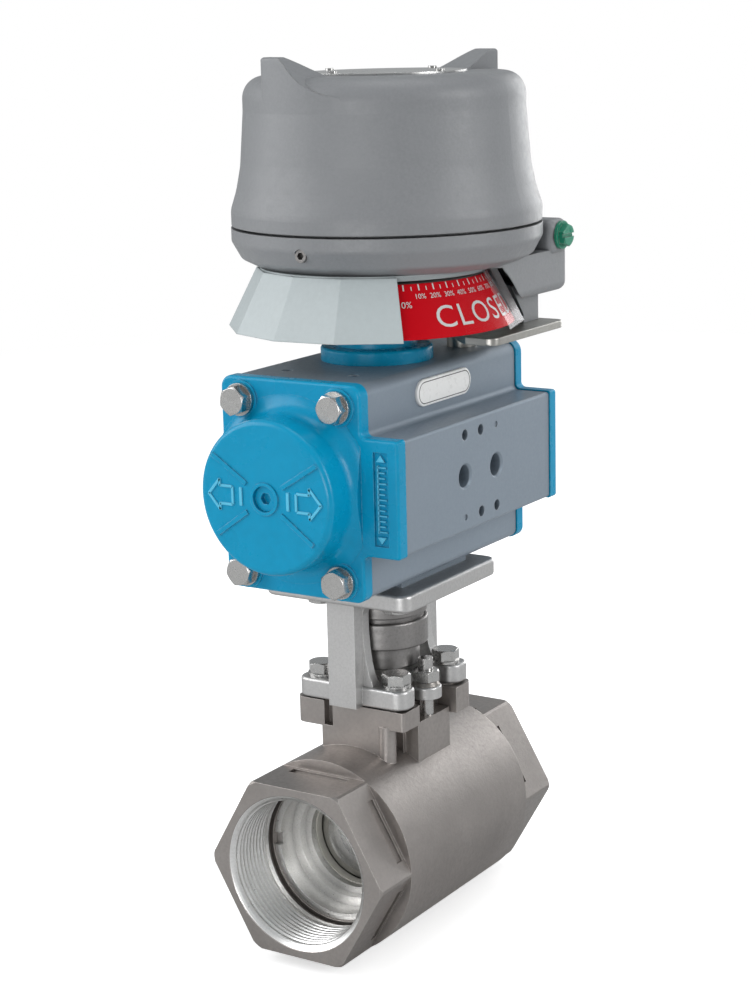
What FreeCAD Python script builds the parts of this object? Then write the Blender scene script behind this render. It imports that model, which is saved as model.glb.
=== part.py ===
import FreeCAD, Part
import math
import os
import re

import Sketcher

# Pneumatic actuated ball valve: a screwed two-inch ball valve, a bracket and coupling, a double-acting
# rack and pinion actuator, and a round position monitor with a cone-shaped open/closed indicator.
# Millimetres. +Z runs up the stem, the pipe and the pistons lie along Y, and the two air ports face +X.
# The origin is on the stem axis, level with the lowest line of the valve body.

doc = FreeCAD.newDocument("PneumaticActuatedValve")
sheet = doc.addObject("Spreadsheet::Sheet", "Sizes")

SIZES = {
    # ball valve
    "body_radius": 39.5,
    "pipe_level": 39.5,
    "half_length": 67.15,
    "hex_flats": 69,
    "hex_length": 21.3,
    "thread_radius": 29.8,
    "thread_length": 26.5,
    "mouth_radius": 31.6,
    "relief_radius": 31.0,
    "insert_face": -39.8,
    "insert_radius": 28.95,
    "cavity_radius": 28.2,
    "ball_radius": 27.5,
    "port_radius": 19,
    "seat_radius": 25.4,
    "seat_gap": 0.32,
    "stem_radius": 8,
    "collar_radius": 10,
    "packing_radius": 12,
    "neck_top": 94,
    "neck_half_x": 13.6,
    "neck_half_y": 25.8,
    "ear_bottom": 88.3,
    "ear_top": 96,
    "ear_near": 12.7,
    "ear_half_x": 24.8,
    "ear_x": 17.5,
    "ear_y": 18.8,
    "stud_x": 19.5,
    # bracket and coupling
    "foot_bottom": 96.5,
    "foot_top": 104.5,
    "plate_bottom": 139.5,
    "plate_top": 146.5,
    "plate_half_x": 33.3,
    "plate_half_y": 35.4,
    "post_half": 6.3,
    "post_inner": 20.5,
    "post_outer": 31,
    "coupler_radius": 18,
    "base_bolt_pitch": 35.36,
    # actuator
    "drive_level": 190.2,
    "drive_half_length": 55,
    "drive_half_width": 30.65,
    "drive_bottom": 150.2,
    "drive_top": 231,
    "upper_corner": 4.2,
    "lower_corner": 3.5,
    "pad_face": 46.25,
    "pad_half_height": 21.6,
    "bore_radius": 26,
    "journal_radius": 12,
    "journal_hole": 13.5,
    "air_port_radius": 4.3,
    "air_port_pitch": 24,
    "air_screw_pitch": 32,
    "air_screw_radius": 2.1,
    "cap_bolt_x": 21.5,
    "cap_bolt_rise": 32.8,
    "cap_lip": 0.5,
    "cap_face": 61,
    "cap_screw_radius": 3,
    "cap_washer": 1.6,
    "bulge_radius": 29.3,
    "bulge_face": 78.5,
    "bulge_rib": 0.6,
    # rack and pinion
    "gear_module": 1.5,
    "gear_teeth": 15,
    "gear_half_height": 13.5,
    "tooth_backlash": 0.08,
    "crown_inner": 25,
    "crown_outer": 36,
    "crown_radius": 25.6,
    # indicator
    "cone_bottom": 244.8,
    "cone_top": 267.4,
    "cone_radius_low": 57.6,
    "cone_radius_high": 46,
    "cone_sides": 14,
    "cone_turn": -47.5,
    # position monitor
    "monitor_y": 9.4,
    "flange_radius": 60.6,
    "flange_top": 282.6,
    "spigot_radius": 56,
    "cavity_wall": 52,
    "cover_bottom": 283.6,
    "cover_top": 340,
    "lug_top": 347.5,
    "support_bottom": 238.5,
    "support_top": 241.5,
    "foot_screw_x": 38,
    "foot_screw_y": 49.5,
    "ground_x": 53.5,
    "ground_y": 52.4,
    "ground_level": 275.6,
    "conduit_radius": 9.25,
    "conduit_x": 27,
    "conduit_level": 268.5,
    "conduit_face": 73,
}

for row, (alias, value) in enumerate(SIZES.items(), start=1):
    sheet.set(f"A{row}", alias)
    sheet.set(f"B{row}", str(value))
    sheet.setAlias(f"B{row}", alias)
doc.recompute()

TURN = {
    "+Z": FreeCAD.Rotation(),
    "-Z": FreeCAD.Rotation(FreeCAD.Vector(1, 0, 0), 180),
    "+X": FreeCAD.Rotation(FreeCAD.Vector(0, 1, 0), 90),
    "+Y": FreeCAD.Rotation(FreeCAD.Vector(1, 0, 0), -90),
    "-Y": FreeCAD.Rotation(FreeCAD.Vector(1, 0, 0), 90),
}
NODES = []


# ---------------------------------------------------------------- helpers

def formula(text):
    """A sum of sizes, with every size written as a cell of the sheet."""

    def cell(found):
        word = found.group()
        return f"Sizes.{word}" if word in SIZES else word

    return re.sub(r"[a-z][a-z_0-9]*", cell, str(text))


def number(text):
    """The value of a sum of sizes."""
    return float(sheet.evalExpression(formula(text)))


def bind(thing, **sums):
    for name, text in sums.items():
        thing.setExpression(name, formula(text))


def place(thing, x=0, y=0, z=0):
    for letter, text in zip("xyz", (x, y, z)):
        thing.setExpression(f"Placement.Base.{letter}", formula(text))
    return thing


def turned(thing, along, spin=0):
    about_self = FreeCAD.Rotation(FreeCAD.Vector(0, 0, 1), spin)
    thing.Placement = FreeCAD.Placement(FreeCAD.Vector(), TURN[along].multiply(about_self))
    return thing


def rod(name, radius, length, x=0, y=0, z=0, along="+Z"):
    thing = turned(doc.addObject("Part::Cylinder", name), along)
    bind(thing, Radius=radius, Height=length)
    return place(thing, x, y, z)


def cone(name, radius, far_radius, length, x=0, y=0, z=0, along="+Z"):
    thing = turned(doc.addObject("Part::Cone", name), along)
    bind(thing, Radius1=radius, Radius2=far_radius, Height=length)
    return place(thing, x, y, z)


def ball_shape(name, radius, x=0, y=0, z=0):
    thing = doc.addObject("Part::Sphere", name)
    bind(thing, Radius=radius)
    return place(thing, x, y, z)


def ring_cord(name, radius, cord, x=0, y=0, z=0, along="+Z"):
    thing = turned(doc.addObject("Part::Torus", name), along)
    bind(thing, Radius1=radius, Radius2=cord)
    return place(thing, x, y, z)


def block(name, low, high):
    """A box from its low corner to its high corner."""
    thing = doc.addObject("Part::Box", name)
    spans = [f"({b}) - ({a})" for a, b in zip(low, high)]
    bind(thing, Length=spans[0], Width=spans[1], Height=spans[2])
    return place(thing, *low)


def hexagon(name, flats, length, x=0, y=0, z=0, along="+Z", spin=0):
    thing = turned(doc.addObject("Part::Prism", name), along, spin)
    thing.Polygon = 6
    bind(thing, Circumradius=f"({flats}) / sqrt(3)", Height=length)
    return place(thing, x, y, z)


def joined(name, *things):
    thing = doc.addObject("Part::MultiFuse", name)
    thing.Shapes = list(things)
    thing.Refine = True
    return thing


def shared(name, first, second):
    thing = doc.addObject("Part::Common", name)
    thing.Base, thing.Tool = first, second
    return thing


def less(name, base, *tools):
    thing = doc.addObject("Part::Cut", name)
    thing.Base = base
    thing.Tool = tools[0] if len(tools) == 1 else joined(f"{name}_tools", *tools)
    return thing


def group(name, *things):
    """Several solids kept apart in one object."""
    thing = doc.addObject("Part::Compound", name)
    thing.Links = list(things)
    return thing


def rounded(name, base, radius, wanted, kind="Part::Fillet"):
    """Fillets or chamfers on the edges that wanted(edge) picks."""
    doc.recompute()
    edges = [n for n, edge in enumerate(base.Shape.Edges, start=1) if wanted(edge)]
    thing = doc.addObject(kind, name)
    thing.Base = base
    thing.Edges = [(n, radius, radius) for n in edges]
    return thing


def ends(edge):
    return edge.Vertexes[0].Point, edge.Vertexes[-1].Point


def straight(edge, letter):
    """Whether an edge is a straight line along one axis."""
    if edge.Curve.TypeId != "Part::GeomLine":
        return False
    first, last = ends(edge)
    along = abs(getattr(last - first, letter))
    return along > 0.999 * (last - first).Length


def lies_at(edge, letter, value):
    """Whether a whole edge lies in the plane where one coordinate has this value."""
    box = edge.BoundBox
    low = getattr(box, f"{letter.upper()}Min")
    high = getattr(box, f"{letter.upper()}Max")
    return abs(low - value) < 0.01 and abs(high - value) < 0.01


def node(name, thing):
    thing.Label = name
    NODES.append(thing)
    return thing


def drawing(body, name, role, corners, lift=None):
    """A closed outline of straight lines in one of a body's planes, its corners tied to the sheet."""
    plane = [f for f in body.Origin.OriginFeatures if f.Role == role][0]
    sketch = body.newObject("Sketcher::SketchObject", name)
    sketch.AttachmentSupport = (plane, "")
    sketch.MapMode = "FlatFace"
    if lift is not None:
        sketch.setExpression("AttachmentOffset.Base.z", formula(lift))
    spots = [FreeCAD.Vector(number(a), number(b), 0) for a, b in corners]
    count = len(spots)
    for n in range(count):
        sketch.addGeometry(Part.LineSegment(spots[n], spots[(n + 1) % count]), False)
    for n in range(count):
        sketch.addConstraint(Sketcher.Constraint("Coincident", n, 2, (n + 1) % count, 1))
    for n, texts in enumerate(corners):
        for kind, text, value in zip(("DistanceX", "DistanceY"), texts, spots[n]):
            tie = sketch.addConstraint(Sketcher.Constraint(kind, -1, 1, n, 1, value))
            sketch.setExpression(f"Constraints[{tie}]", formula(text))
    return sketch


def padded(body, name, sketch, length, back=False):
    pad = body.newObject("PartDesign::Pad", name)
    pad.Profile = sketch
    pad.Reversed = back
    bind(pad, Length=length)
    return pad


def spun(body, name, sketch):
    turn = body.newObject("PartDesign::Revolution", name)
    turn.Profile = sketch
    turn.ReferenceAxis = (sketch, ["V_Axis"])
    turn.Angle = 360
    return turn


def softened(body, name, base, radius, wanted):
    """A PartDesign fillet on the edges that wanted(edge) picks."""
    doc.recompute()
    edges = [f"Edge{n}" for n, edge in enumerate(base.Shape.Edges, start=1) if wanted(edge)]
    fillet = body.newObject("PartDesign::Fillet", name)
    fillet.Base = (base, edges)
    fillet.Radius = radius
    return fillet


def tube(name, inner, outer, low, high, x=0, y=0, along="+Z"):
    """A plain ring standing on Z, from one level to another."""
    wall = rod(f"{name}_outside", outer, f"({high}) - ({low})", x, y, low, along)
    hole = rod(f"{name}_inside", inner, f"({high}) - ({low})", x, y, low, along)
    return less(name, wall, hole)


def ring_on_y(name, inner, outer, low, high, z="pipe_level"):
    """A plain ring along Y, from one place to another."""
    wall = rod(f"{name}_outside", outer, f"({high}) - ({low})", 0, low, z, "+Y")
    hole = rod(f"{name}_inside", inner, f"({high}) - ({low})", 0, low, z, "+Y")
    return less(name, wall, hole)


def crowned(name, flats, height, x, y, z, along, spin=0):
    """A bolt head or nut: a hexagon whose outer corners are turned off by a shallow dome."""
    bar = hexagon(f"{name}_bar", flats, height, x, y, z, along, spin)
    dome_radius = 0.5 * flats * 1.9
    reach = math.sqrt(dome_radius ** 2 - (0.49 * flats) ** 2)
    point = TURN[along].multVec(FreeCAD.Vector(0, 0, height - reach))
    dome = ball_shape(
        f"{name}_dome", dome_radius, f"{x} + {point.x}", f"{y} + {point.y}", f"{z} + {point.z}"
    )
    return shared(f"{name}_head", bar, dome)


def bolt(name, flats, height, radius, length, x, y, z, along, spin=0):
    """A hexagon bolt whose head stands on (x, y, z); its shank runs the other way."""
    back = TURN[along].multVec(FreeCAD.Vector(0, 0, -length))
    head = crowned(name, flats, height, x, y, z, along, spin)
    shank = rod(f"{name}_shank", radius, length + 0.5, f"{x} + {back.x}", f"{y} + {back.y}",
                f"{z} + {back.z}", along)
    return joined(name, head, shank)


CORNERS = [(-1, -1), (1, -1), (1, 1), (-1, 1)]


# ---------------------------------------------------------------- ball valve

def build_valve_body():
    whole = rod("body_round", "body_radius", "2 * half_length", 0, "-half_length", "pipe_level", "+Y")
    rimmed = rounded("body_rims", whole, 0.9, lambda e: e.Curve.TypeId == "Part::GeomCircle",
                     "Part::Chamfer")
    waste = []
    for s, along in ((-1, "+Y"), (1, "-Y")):
        drum = rod(f"body_waste_drum_{s}", "body_radius + 9", "hex_length + 5", 0,
                   f"{s} * (half_length + 5)", "pipe_level", along)
        bar = hexagon(f"body_hexagon_{s}", "hex_flats", "hex_length + 9", 0,
                      f"{s} * (half_length + 7)", "pipe_level", along)
        waste.append(less(f"body_waste_{s}", drum, bar))
    turned_body = less("body_turned", rimmed, *waste)
    neck = block("neck_core", ("-neck_half_x", "-neck_half_y", "pipe_level"),
                 ("neck_half_x", "neck_half_y", "ear_bottom + 1"))
    middle = block("neck_middle", (-17, "-ear_near - 1", "pipe_level"), (17, "ear_near + 1", "neck_top"))
    side_pads = block("neck_side_pads", (-23, -12.1, "pipe_level"), (23, 12.1, 88))
    ears = []
    for s in (-1, 1):
        near, far = sorted((f"{s} * ear_near", f"{s} * neck_half_y"), key=number)
        ear = block(f"ear_{s}", ("-ear_half_x", near, "ear_bottom"), ("ear_half_x", far, "ear_top"))
        ears.append(rounded(f"ear_round_{s}", ear, 1.5, lambda e: straight(e, "z")))
        # one end of each ear is a little thicker, and a narrow slot sets it off
        left, right = sorted((s * 12.4, s * 26.0))
        thick = block(f"ear_thick_{s}", (left, near, "ear_bottom - 2.8"), (right, far, "ear_top"))
        ears.append(rounded(f"ear_thick_round_{s}", thick, 4, lambda e: (
            straight(e, "z") and abs(e.BoundBox.XMin) > 20 and abs(e.BoundBox.YMin) > 20)))
    columns = [rod(f"neck_column_{s}", 3.5, "ear_bottom + 1 - pipe_level", s * 15.5,
                   f"{-s} * (neck_half_y - 2.5)", "pipe_level") for s in (-1, 1)]
    pads = [rod(f"foot_pad_{n}", 5, "foot_bottom - ear_top + 1", f"{sx} * ear_x", f"{sy} * ear_y",
                "ear_top - 1") for n, (sx, sy) in enumerate(CORNERS)]
    solid = joined("body_solid", turned_body, neck, middle, side_pads, *ears, *columns, *pads)
    cuts = [
        rod("body_insert_bore", "insert_radius + 0.05", "half_length - 24", 0, "-half_length",
            "pipe_level", "+Y"),
        rod("body_cavity", "cavity_radius", 41, 0, -25, "pipe_level", "+Y"),
        rod("body_rear_seat", "seat_radius + 0.2", 10, 0, 13.9, "pipe_level", "+Y"),
        rod("body_rear_port", "port_radius + 0.5", "half_length", 0, 13, "pipe_level", "+Y"),
        rod("body_stem_room", "collar_radius + 0.35", 18, 0, 0, 55),
        rod("body_stem_hole", "stem_radius + 0.08", 40, 0, 0, 60),
        rod("body_packing_room", "packing_radius", 20, 0, 0, 82),
        rod("body_gland_room", 14.2, 9, 0, 0, "neck_top"),
    ]
    for s, along in ((-1, "+Y"), (1, "-Y")):
        cuts.append(rod(f"body_thread_{s}", "thread_radius", "thread_length", 0, f"{s} * half_length",
                        "pipe_level", along))
        cuts.append(cone(f"body_mouth_{s}", "mouth_radius", "thread_radius", 1.4, 0,
                         f"{s} * half_length", "pipe_level", along))
        cuts.append(rod(f"body_relief_{s}", "relief_radius", 2.2, 0,
                        f"{s} * (half_length - thread_length + 2.2)", "pipe_level", along))
        cuts.append(rod(f"stud_hole_{s}", 3.02, 20, f"{s} * stud_x", 0, 78))
        left, right = sorted((s * 8.4, s * 12.4))
        near, far = sorted((s * 22.0, s * 27.0))
        cuts.append(block(f"ear_slot_{s}", (left, near, "ear_bottom - 2.3"), (right, far, "ear_top + 1")))
    for n, (sx, sy) in enumerate(CORNERS):
        cuts.append(rod(f"foot_bolt_hole_{n}", 3.02, 20, f"{sx} * ear_x", f"{sy} * ear_y",
                        "ear_bottom + 0.7"))
    # a shallow slot across every wrench flat, near its inner end
    for s in (-1, 1):
        for n in range(6):
            slot = doc.addObject("Part::Box", f"flat_slot_{s}_{n}")
            slot.Length, slot.Width, slot.Height = 26, 3.8, 2
            turn = FreeCAD.Rotation(FreeCAD.Vector(0, 1, 0), 60 * n)
            reach = number("hex_flats") / 2 - 1.1
            centre = turn.multVec(FreeCAD.Vector(-13, 0, reach))
            inner = s * (number("half_length - hex_length") + 3.6) - 1.6
            slot.Placement = FreeCAD.Placement(
                FreeCAD.Vector(centre.x, inner, number("pipe_level") + centre.z), turn)
            cuts.append(slot)
    node("valve_body", less("valve_body_shape", solid, *cuts))


def build_valve_inside():
    # threaded ring that closes the body in front and carries the front seat
    outer = rod("insert_outer", "insert_radius", "-24.2 - insert_face", 0, "insert_face", "pipe_level", "+Y")
    nose = rod("insert_nose", "cavity_radius - 0.2", 6, 0, -25, "pipe_level", "+Y")
    cuts = [
        rod("insert_step_wide", 26.2, 8.8, 0, "insert_face", "pipe_level", "+Y"),
        rod("insert_step_narrow", 22.4, 12.6, 0, "insert_face", "pipe_level", "+Y"),
        rod("insert_hole", "port_radius + 0.6", 40, 0, -50, "pipe_level", "+Y"),
        block("insert_notches", (-30, "insert_face - 1", "pipe_level - 2.6"),
              (30, "insert_face + 2.2", "pipe_level + 2.6")),
        rod("insert_pocket", "seat_radius + 0.2", 8, 0, -24, "pipe_level", "+Y"),
        ring_on_y("insert_groove", 26.6, 30, -30.2, -27.6),
    ]
    node("body_insert", less("body_insert_shape", joined("insert_solid", outer, nose), *cuts))
    node("insert_o_ring", ring_cord("insert_o_ring_shape", 27.7, 1.05, 0, -28.9, "pipe_level", "+Y"))
    seats = []
    for name, low, high in (("seat_front", -23.8, -17.5), ("seat_rear", 17.5, 23.7)):
        ring = ring_on_y(f"{name}_ring", "port_radius + 0.3", "seat_radius", low, high)
        room = ball_shape(f"{name}_room", "ball_radius + seat_gap", 0, 0, "pipe_level")
        seats.append(less(f"{name}_shape", ring, room))
    node("ball_seats", group("ball_seats_pair", *seats))
    # closed: the ball's bore lies across the pipe
    ball = ball_shape("ball_round", "ball_radius", 0, 0, "pipe_level")
    bore = rod("ball_bore", "port_radius", 80, -40, 0, "pipe_level", "+X")
    slot = block("ball_slot", (-5, -30, 61.5), (5, 30, 70))
    node("ball", less("ball_shape", ball, bore, slot))
    tang = shared("stem_tang",
                  block("tang_block", (-4.85, -8.6, 61.8), (4.85, 8.6, 68.5)),
                  rod("tang_round", "collar_radius - 0.1", 8, 0, 0, 61))
    collar = rod("stem_collar", "collar_radius", 3.4, 0, 0, 68.2)
    shaft = rod("stem_shaft", "stem_radius", 51, 0, 0, 71)
    flats = [block(f"stem_flat_{s}", (min(s * 6.4, s * 9), -9, 104), (max(s * 6.4, s * 9), 9, 123))
             for s in (-1, 1)]
    pin_hole = rod("stem_pin_hole", 2, 40, 0, -20, 117, "+Y")
    node("stem", less("stem_shape", joined("stem_solid", tang, collar, shaft), *flats, pin_hole))
    node("stem_thrust_washer", tube("stem_thrust_washer_shape", "stem_radius + 0.09",
                                    "collar_radius + 0.2", 71.95, 72.95))
    node("stem_packing", group("stem_packing_rings", *[
        tube(f"packing_ring_{n}", "stem_radius + 0.09", "packing_radius - 0.05",
             82.05 + 2.7 * n, 84.65 + 2.7 * n) for n in range(3)]))
    node("gland_follower", tube("gland_follower_shape", "stem_radius + 0.35", "packing_radius - 0.1",
                                90.1, 95.5))
    hub = rod("gland_hub", 13.5, 5, 0, 0, 95.5)
    bar = block("gland_bar", ("-stud_x", -6.3, 95.5), ("stud_x", 6.3, 100.5))
    tips = [rod(f"gland_tip_{s}", 6.3, 5, f"{s} * stud_x", 0, 95.5) for s in (-1, 1)]
    holes = [rod(f"gland_hole_{s}", 3.3, 9, f"{s} * stud_x", 0, 94) for s in (-1, 1)]
    holes.append(rod("gland_stem_hole", "stem_radius + 0.5", 9, 0, 0, 94))
    solid = joined("gland_solid", hub, bar, *tips)
    eased = rounded("gland_eased", solid, 1, lambda e: lies_at(e, "z", 100.5))
    node("gland_plate", less("gland_plate_shape", eased, *holes))
    sides = (-1, 1)
    node("gland_studs", group("gland_studs_pair", *[
        rod(f"gland_stud_{s}", 3, 33, f"{s} * stud_x", 0, 78.5) for s in sides]))
    node("gland_springs", group("gland_springs_pair", *[
        less(f"gland_spring_{s}", cone(f"gland_spring_cone_{s}", 5.8, 4.6, 1.8, f"{s} * stud_x", 0, 100.5),
             rod(f"gland_spring_hole_{s}", 3.15, 4, f"{s} * stud_x", 0, 100)) for s in sides]))
    node("gland_nuts", group("gland_nuts_pair", *[
        less(f"gland_nut_{s}", crowned(f"gland_nut_bar_{s}", 10, 4.4, s * 19.5, 0, 102.3, "+Z", 12),
             rod(f"gland_nut_hole_{s}", 3.02, 8, f"{s} * stud_x", 0, 101)) for s in sides]))


# ---------------------------------------------------------------- bracket and coupling

def bracket_web(s):
    """A web on the back of each post that flares towards the foot and towards the plate."""
    body = doc.addObject("PartDesign::Body", f"bracket_web_{s}")
    right = [("10.4", "foot_top - 1"), ("10.4", "foot_top + 0.6"), ("8.9", "foot_top + 4"),
             ("7.7", "foot_top + 9"), ("6.9", "foot_top + 15"), ("post_half + 0.05", "foot_top + 22"),
             ("post_half + 0.05", "plate_bottom - 6"), ("7.4", "plate_bottom - 2.6"),
             ("9.6", "plate_bottom - 0.6"), ("9.6", "plate_bottom + 1")]
    left = [(f"-({x})", z) for x, z in reversed(right)]
    near = "-25" if s > 0 else "20.5"
    outline = drawing(body, f"bracket_web_outline_{s}", "XZ_Plane", right + left, near)
    padded(body, f"bracket_web_thick_{s}", outline, 4.5)
    return body


def build_bracket():
    top = block("bracket_top", ("-plate_half_x", "-plate_half_y", "plate_bottom"),
                ("plate_half_x", "plate_half_y", "plate_top"))
    top = rounded("bracket_top_corners", top, 5, lambda e: straight(e, "z"))
    flat = lambda e: not straight(e, "z")
    pieces = [rounded("bracket_top_edges", top, 1.4, flat)]
    for s in (-1, 1):
        inner, outer = sorted((f"{s} * post_inner", f"{s} * post_outer"), key=number)
        pieces.append(block(f"bracket_post_{s}", ("-post_half", inner, "foot_bottom"),
                            ("post_half", outer, "plate_bottom + 1")))
        near, far = sorted((s * 14.0, s * 26.5))
        foot = block(f"bracket_foot_{s}", (-25, near, "foot_bottom"), (25, far, "foot_top"))
        foot = rounded(f"bracket_foot_round_{s}", foot, 5.2, lambda e: straight(e, "z"))
        pieces.append(rounded(f"bracket_foot_edges_{s}", foot, 1.2, flat))
        pieces.append(bracket_web(s))
    solid = joined("bracket_solid", *pieces)
    cuts = [rod("bracket_centre", 18.5, 20, 0, 0, "plate_bottom - 5")]
    for n, (sx, sy) in enumerate(CORNERS):
        cuts.append(rod(f"bracket_base_hole_{n}", 3.3, 20, f"{sx} * base_bolt_pitch / 2",
                        f"{sy} * base_bolt_pitch / 2", "plate_bottom - 5"))
        cuts.append(rod(f"bracket_foot_hole_{n}", 3.3, 20, f"{sx} * ear_x", f"{sy} * ear_y", 90))
    node("mounting_bracket", less("mounting_bracket_shape", solid, *cuts))
    feet = [(sx * SIZES["ear_x"], sy * SIZES["ear_y"]) for sx, sy in CORNERS]
    node("bracket_foot_bolts", group("bracket_foot_bolts_set", *[
        bolt(f"foot_bolt_{n}", 10, 4.4, 3, 16, x, y, 105.6, "+Z", 10 + 17 * n)
        for n, (x, y) in enumerate(feet)]))
    half = SIZES["base_bolt_pitch"] / 2
    base = [(sx * half, sy * half) for sx, sy in CORNERS]
    node("base_bolts", group("base_bolts_set", *[
        bolt(f"base_bolt_{n}", 10, 4, 3, 18, x, y, 138.4, "-Z", 15 * n)
        for n, (x, y) in enumerate(base)]))
    washers = [(x, y, 104.5) for x, y in feet] + [(x, y, 138.4) for x, y in base]
    node("bracket_washers", group("bracket_washers_set", *[
        tube(f"bracket_washer_{n}", 3.2, 5.7, z, z + 1.1, x, y)
        for n, (x, y, z) in enumerate(washers)]))


def build_coupler():
    solid = joined(
        "coupler_solid",
        rod("coupler_low", 14.5, 10, 0, 0, 107.5),
        rod("coupler_mid", "coupler_radius", 10.8, 0, 0, 116.4),
        rod("coupler_neck", "coupler_radius - 1.8", 4, 0, 0, 126),
        rod("coupler_high", "coupler_radius - 0.3", 14, 0, 0, 129),
        shared("coupler_square", block("coupler_square_bar", (-7, -7, 142), (7, 7, 163)),
               cone("coupler_square_round", 9.4, 9.0, 21.2, 0, 0, 142)),
    )
    eased = rounded("coupler_eased", solid, 0.8, lambda e: any(
        lies_at(e, "z", level) and e.Curve.TypeId == "Part::GeomCircle" and e.Curve.Radius > least
        for level, least in ((107.5, 14), (116.4, 17), (127.2, 17), (129, 17), (143, 14))))
    bore = shared("coupler_bore", rod("coupler_bore_round", "stem_radius + 0.06", 16.5, 0, 0, 106),
                  block("coupler_bore_flats", (-6.46, -9, 106), (6.46, 9, 122.4)))
    pin_hole = rod("coupler_pin_hole", 2, 40, 0, -20, 117, "+Y")
    node("coupler", less("coupler_shape", eased, bore, pin_hole))
    node("coupler_pin", rod("coupler_pin_shape", 1.97, 34, 0, -17, 117, "+Y"))


# ---------------------------------------------------------------- actuator

def body_outline(lip):
    """Corners of the actuator's section in X and Z, grown by a lip all round."""
    wide, level = f"(drive_half_width + {lip})", "drive_level"
    low, high = f"(drive_bottom - {lip})", f"(drive_top + {lip})"
    pad, rise = f"(pad_face + {lip})", f"(pad_half_height + {lip})"
    return [
        (f"-{wide}", low), (wide, low), (wide, f"{level} - {rise}"), (pad, f"{level} - {rise}"),
        (pad, f"{level} + {rise}"), (wide, f"{level} + {rise}"), (wide, high), (f"-{wide}", high),
    ]


def outline_corners(body, name, base, lip):
    """Rounds the long edges of the actuator's section: above, below, and beside the air pad."""
    wide = number("drive_half_width") + lip
    pad = number("pad_face") + lip
    high = number("drive_top") + lip
    low = number("drive_bottom") - lip

    def corner(level):
        return lambda e: (straight(e, "y") and abs(abs(e.BoundBox.XMin) - wide) < 0.01
                          and abs(e.BoundBox.ZMin - level) < 0.01)

    def beside_pad(e):
        return (straight(e, "y") and abs(e.BoundBox.XMin - wide) < 0.01
                and abs(e.BoundBox.ZMin - high) > 5 and abs(e.BoundBox.ZMin - low) > 5)

    above = softened(body, f"{name}_above", base, SIZES["upper_corner"] + lip, corner(high))
    below = softened(body, f"{name}_below", above, SIZES["lower_corner"] + lip, corner(low))
    inner = softened(body, f"{name}_beside", below, 2.2, beside_pad)
    return softened(body, f"{name}_pad", inner, 1.2,
                    lambda e: straight(e, "y") and abs(e.BoundBox.XMin - pad) < 0.01)


def build_actuator_body():
    body = doc.addObject("PartDesign::Body", "drive_casting")
    outline = drawing(body, "drive_outline", "XZ_Plane", body_outline(0), "-drive_half_length")
    pad = padded(body, "drive_length", outline, "2 * drive_half_length")
    outline_corners(body, "drive_corners", pad, 0)
    base = block("drive_base_pad", (-24.5, -24.5, "plate_top"), (24.5, 24.5, "drive_bottom + 1"))
    solid = joined("drive_solid", body, base)
    cuts = [
        rod("drive_bore", "bore_radius", "2 * drive_half_length", 0, "-drive_half_length",
            "drive_level", "+Y"),
        rod("drive_journals", "journal_hole", 100, 0, 0, "plate_top - 5"),
        rod("drive_port_a_way", 2.2, 30, 18, "-air_port_pitch / 2", "drive_level", "+X"),
        rod("drive_gallery", 2, "2 * drive_half_length", 38, "-drive_half_length",
            "drive_level - 9", "+Y"),
        rod("drive_port_b_way", 2, 9, 38, "air_port_pitch / 2", "drive_level - 9"),
    ]
    for s in (-1, 1):
        cuts.append(rod(f"drive_port_{s}", "air_port_radius", 13, "pad_face - 13",
                        f"{s} * air_port_pitch / 2", "drive_level", "+X"))
        cuts.append(cone(f"drive_port_mouth_{s}", "air_port_radius", "air_port_radius + 0.8", 0.8,
                         "pad_face - 0.8", f"{s} * air_port_pitch / 2", "drive_level", "+X"))
    screws = [(-12, 1), (0, 1), (0, -1), (12, -1)]
    for n, (y, s) in enumerate(screws):
        cuts.append(rod(f"drive_air_screw_{n}", "air_screw_radius", 9, "pad_face - 9", y,
                        f"drive_level + {s} * air_screw_pitch / 2", "+X"))
    for n, (y, s) in enumerate([(12, 1), (-12, -1)]):
        cuts.append(rod(f"drive_dimple_{n}", 1.2, 0.6, "pad_face - 0.6", y,
                        f"drive_level + {s} * air_screw_pitch / 2", "+X"))
    for n, (sx, sz) in enumerate(CORNERS):
        for s, along in ((-1, "+Y"), (1, "-Y")):
            cuts.append(rod(f"drive_cap_hole_{n}_{s}", "cap_screw_radius + 0.02", 22,
                            f"{sx} * cap_bolt_x", f"{s} * drive_half_length",
                            f"drive_level + {sz} * cap_bolt_rise", along))
        cuts.append(rod(f"drive_base_hole_{n}", 3.02, 13, f"{sx} * base_bolt_pitch / 2",
                        f"{sz} * base_bolt_pitch / 2", "plate_top"))
        cuts.append(rod(f"drive_top_hole_{n}", 2.1, 10, 15 * sx, 40 * sz, "drive_top - 10"))
    node("actuator_body", less("actuator_body_shape", solid, *cuts))


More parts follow.
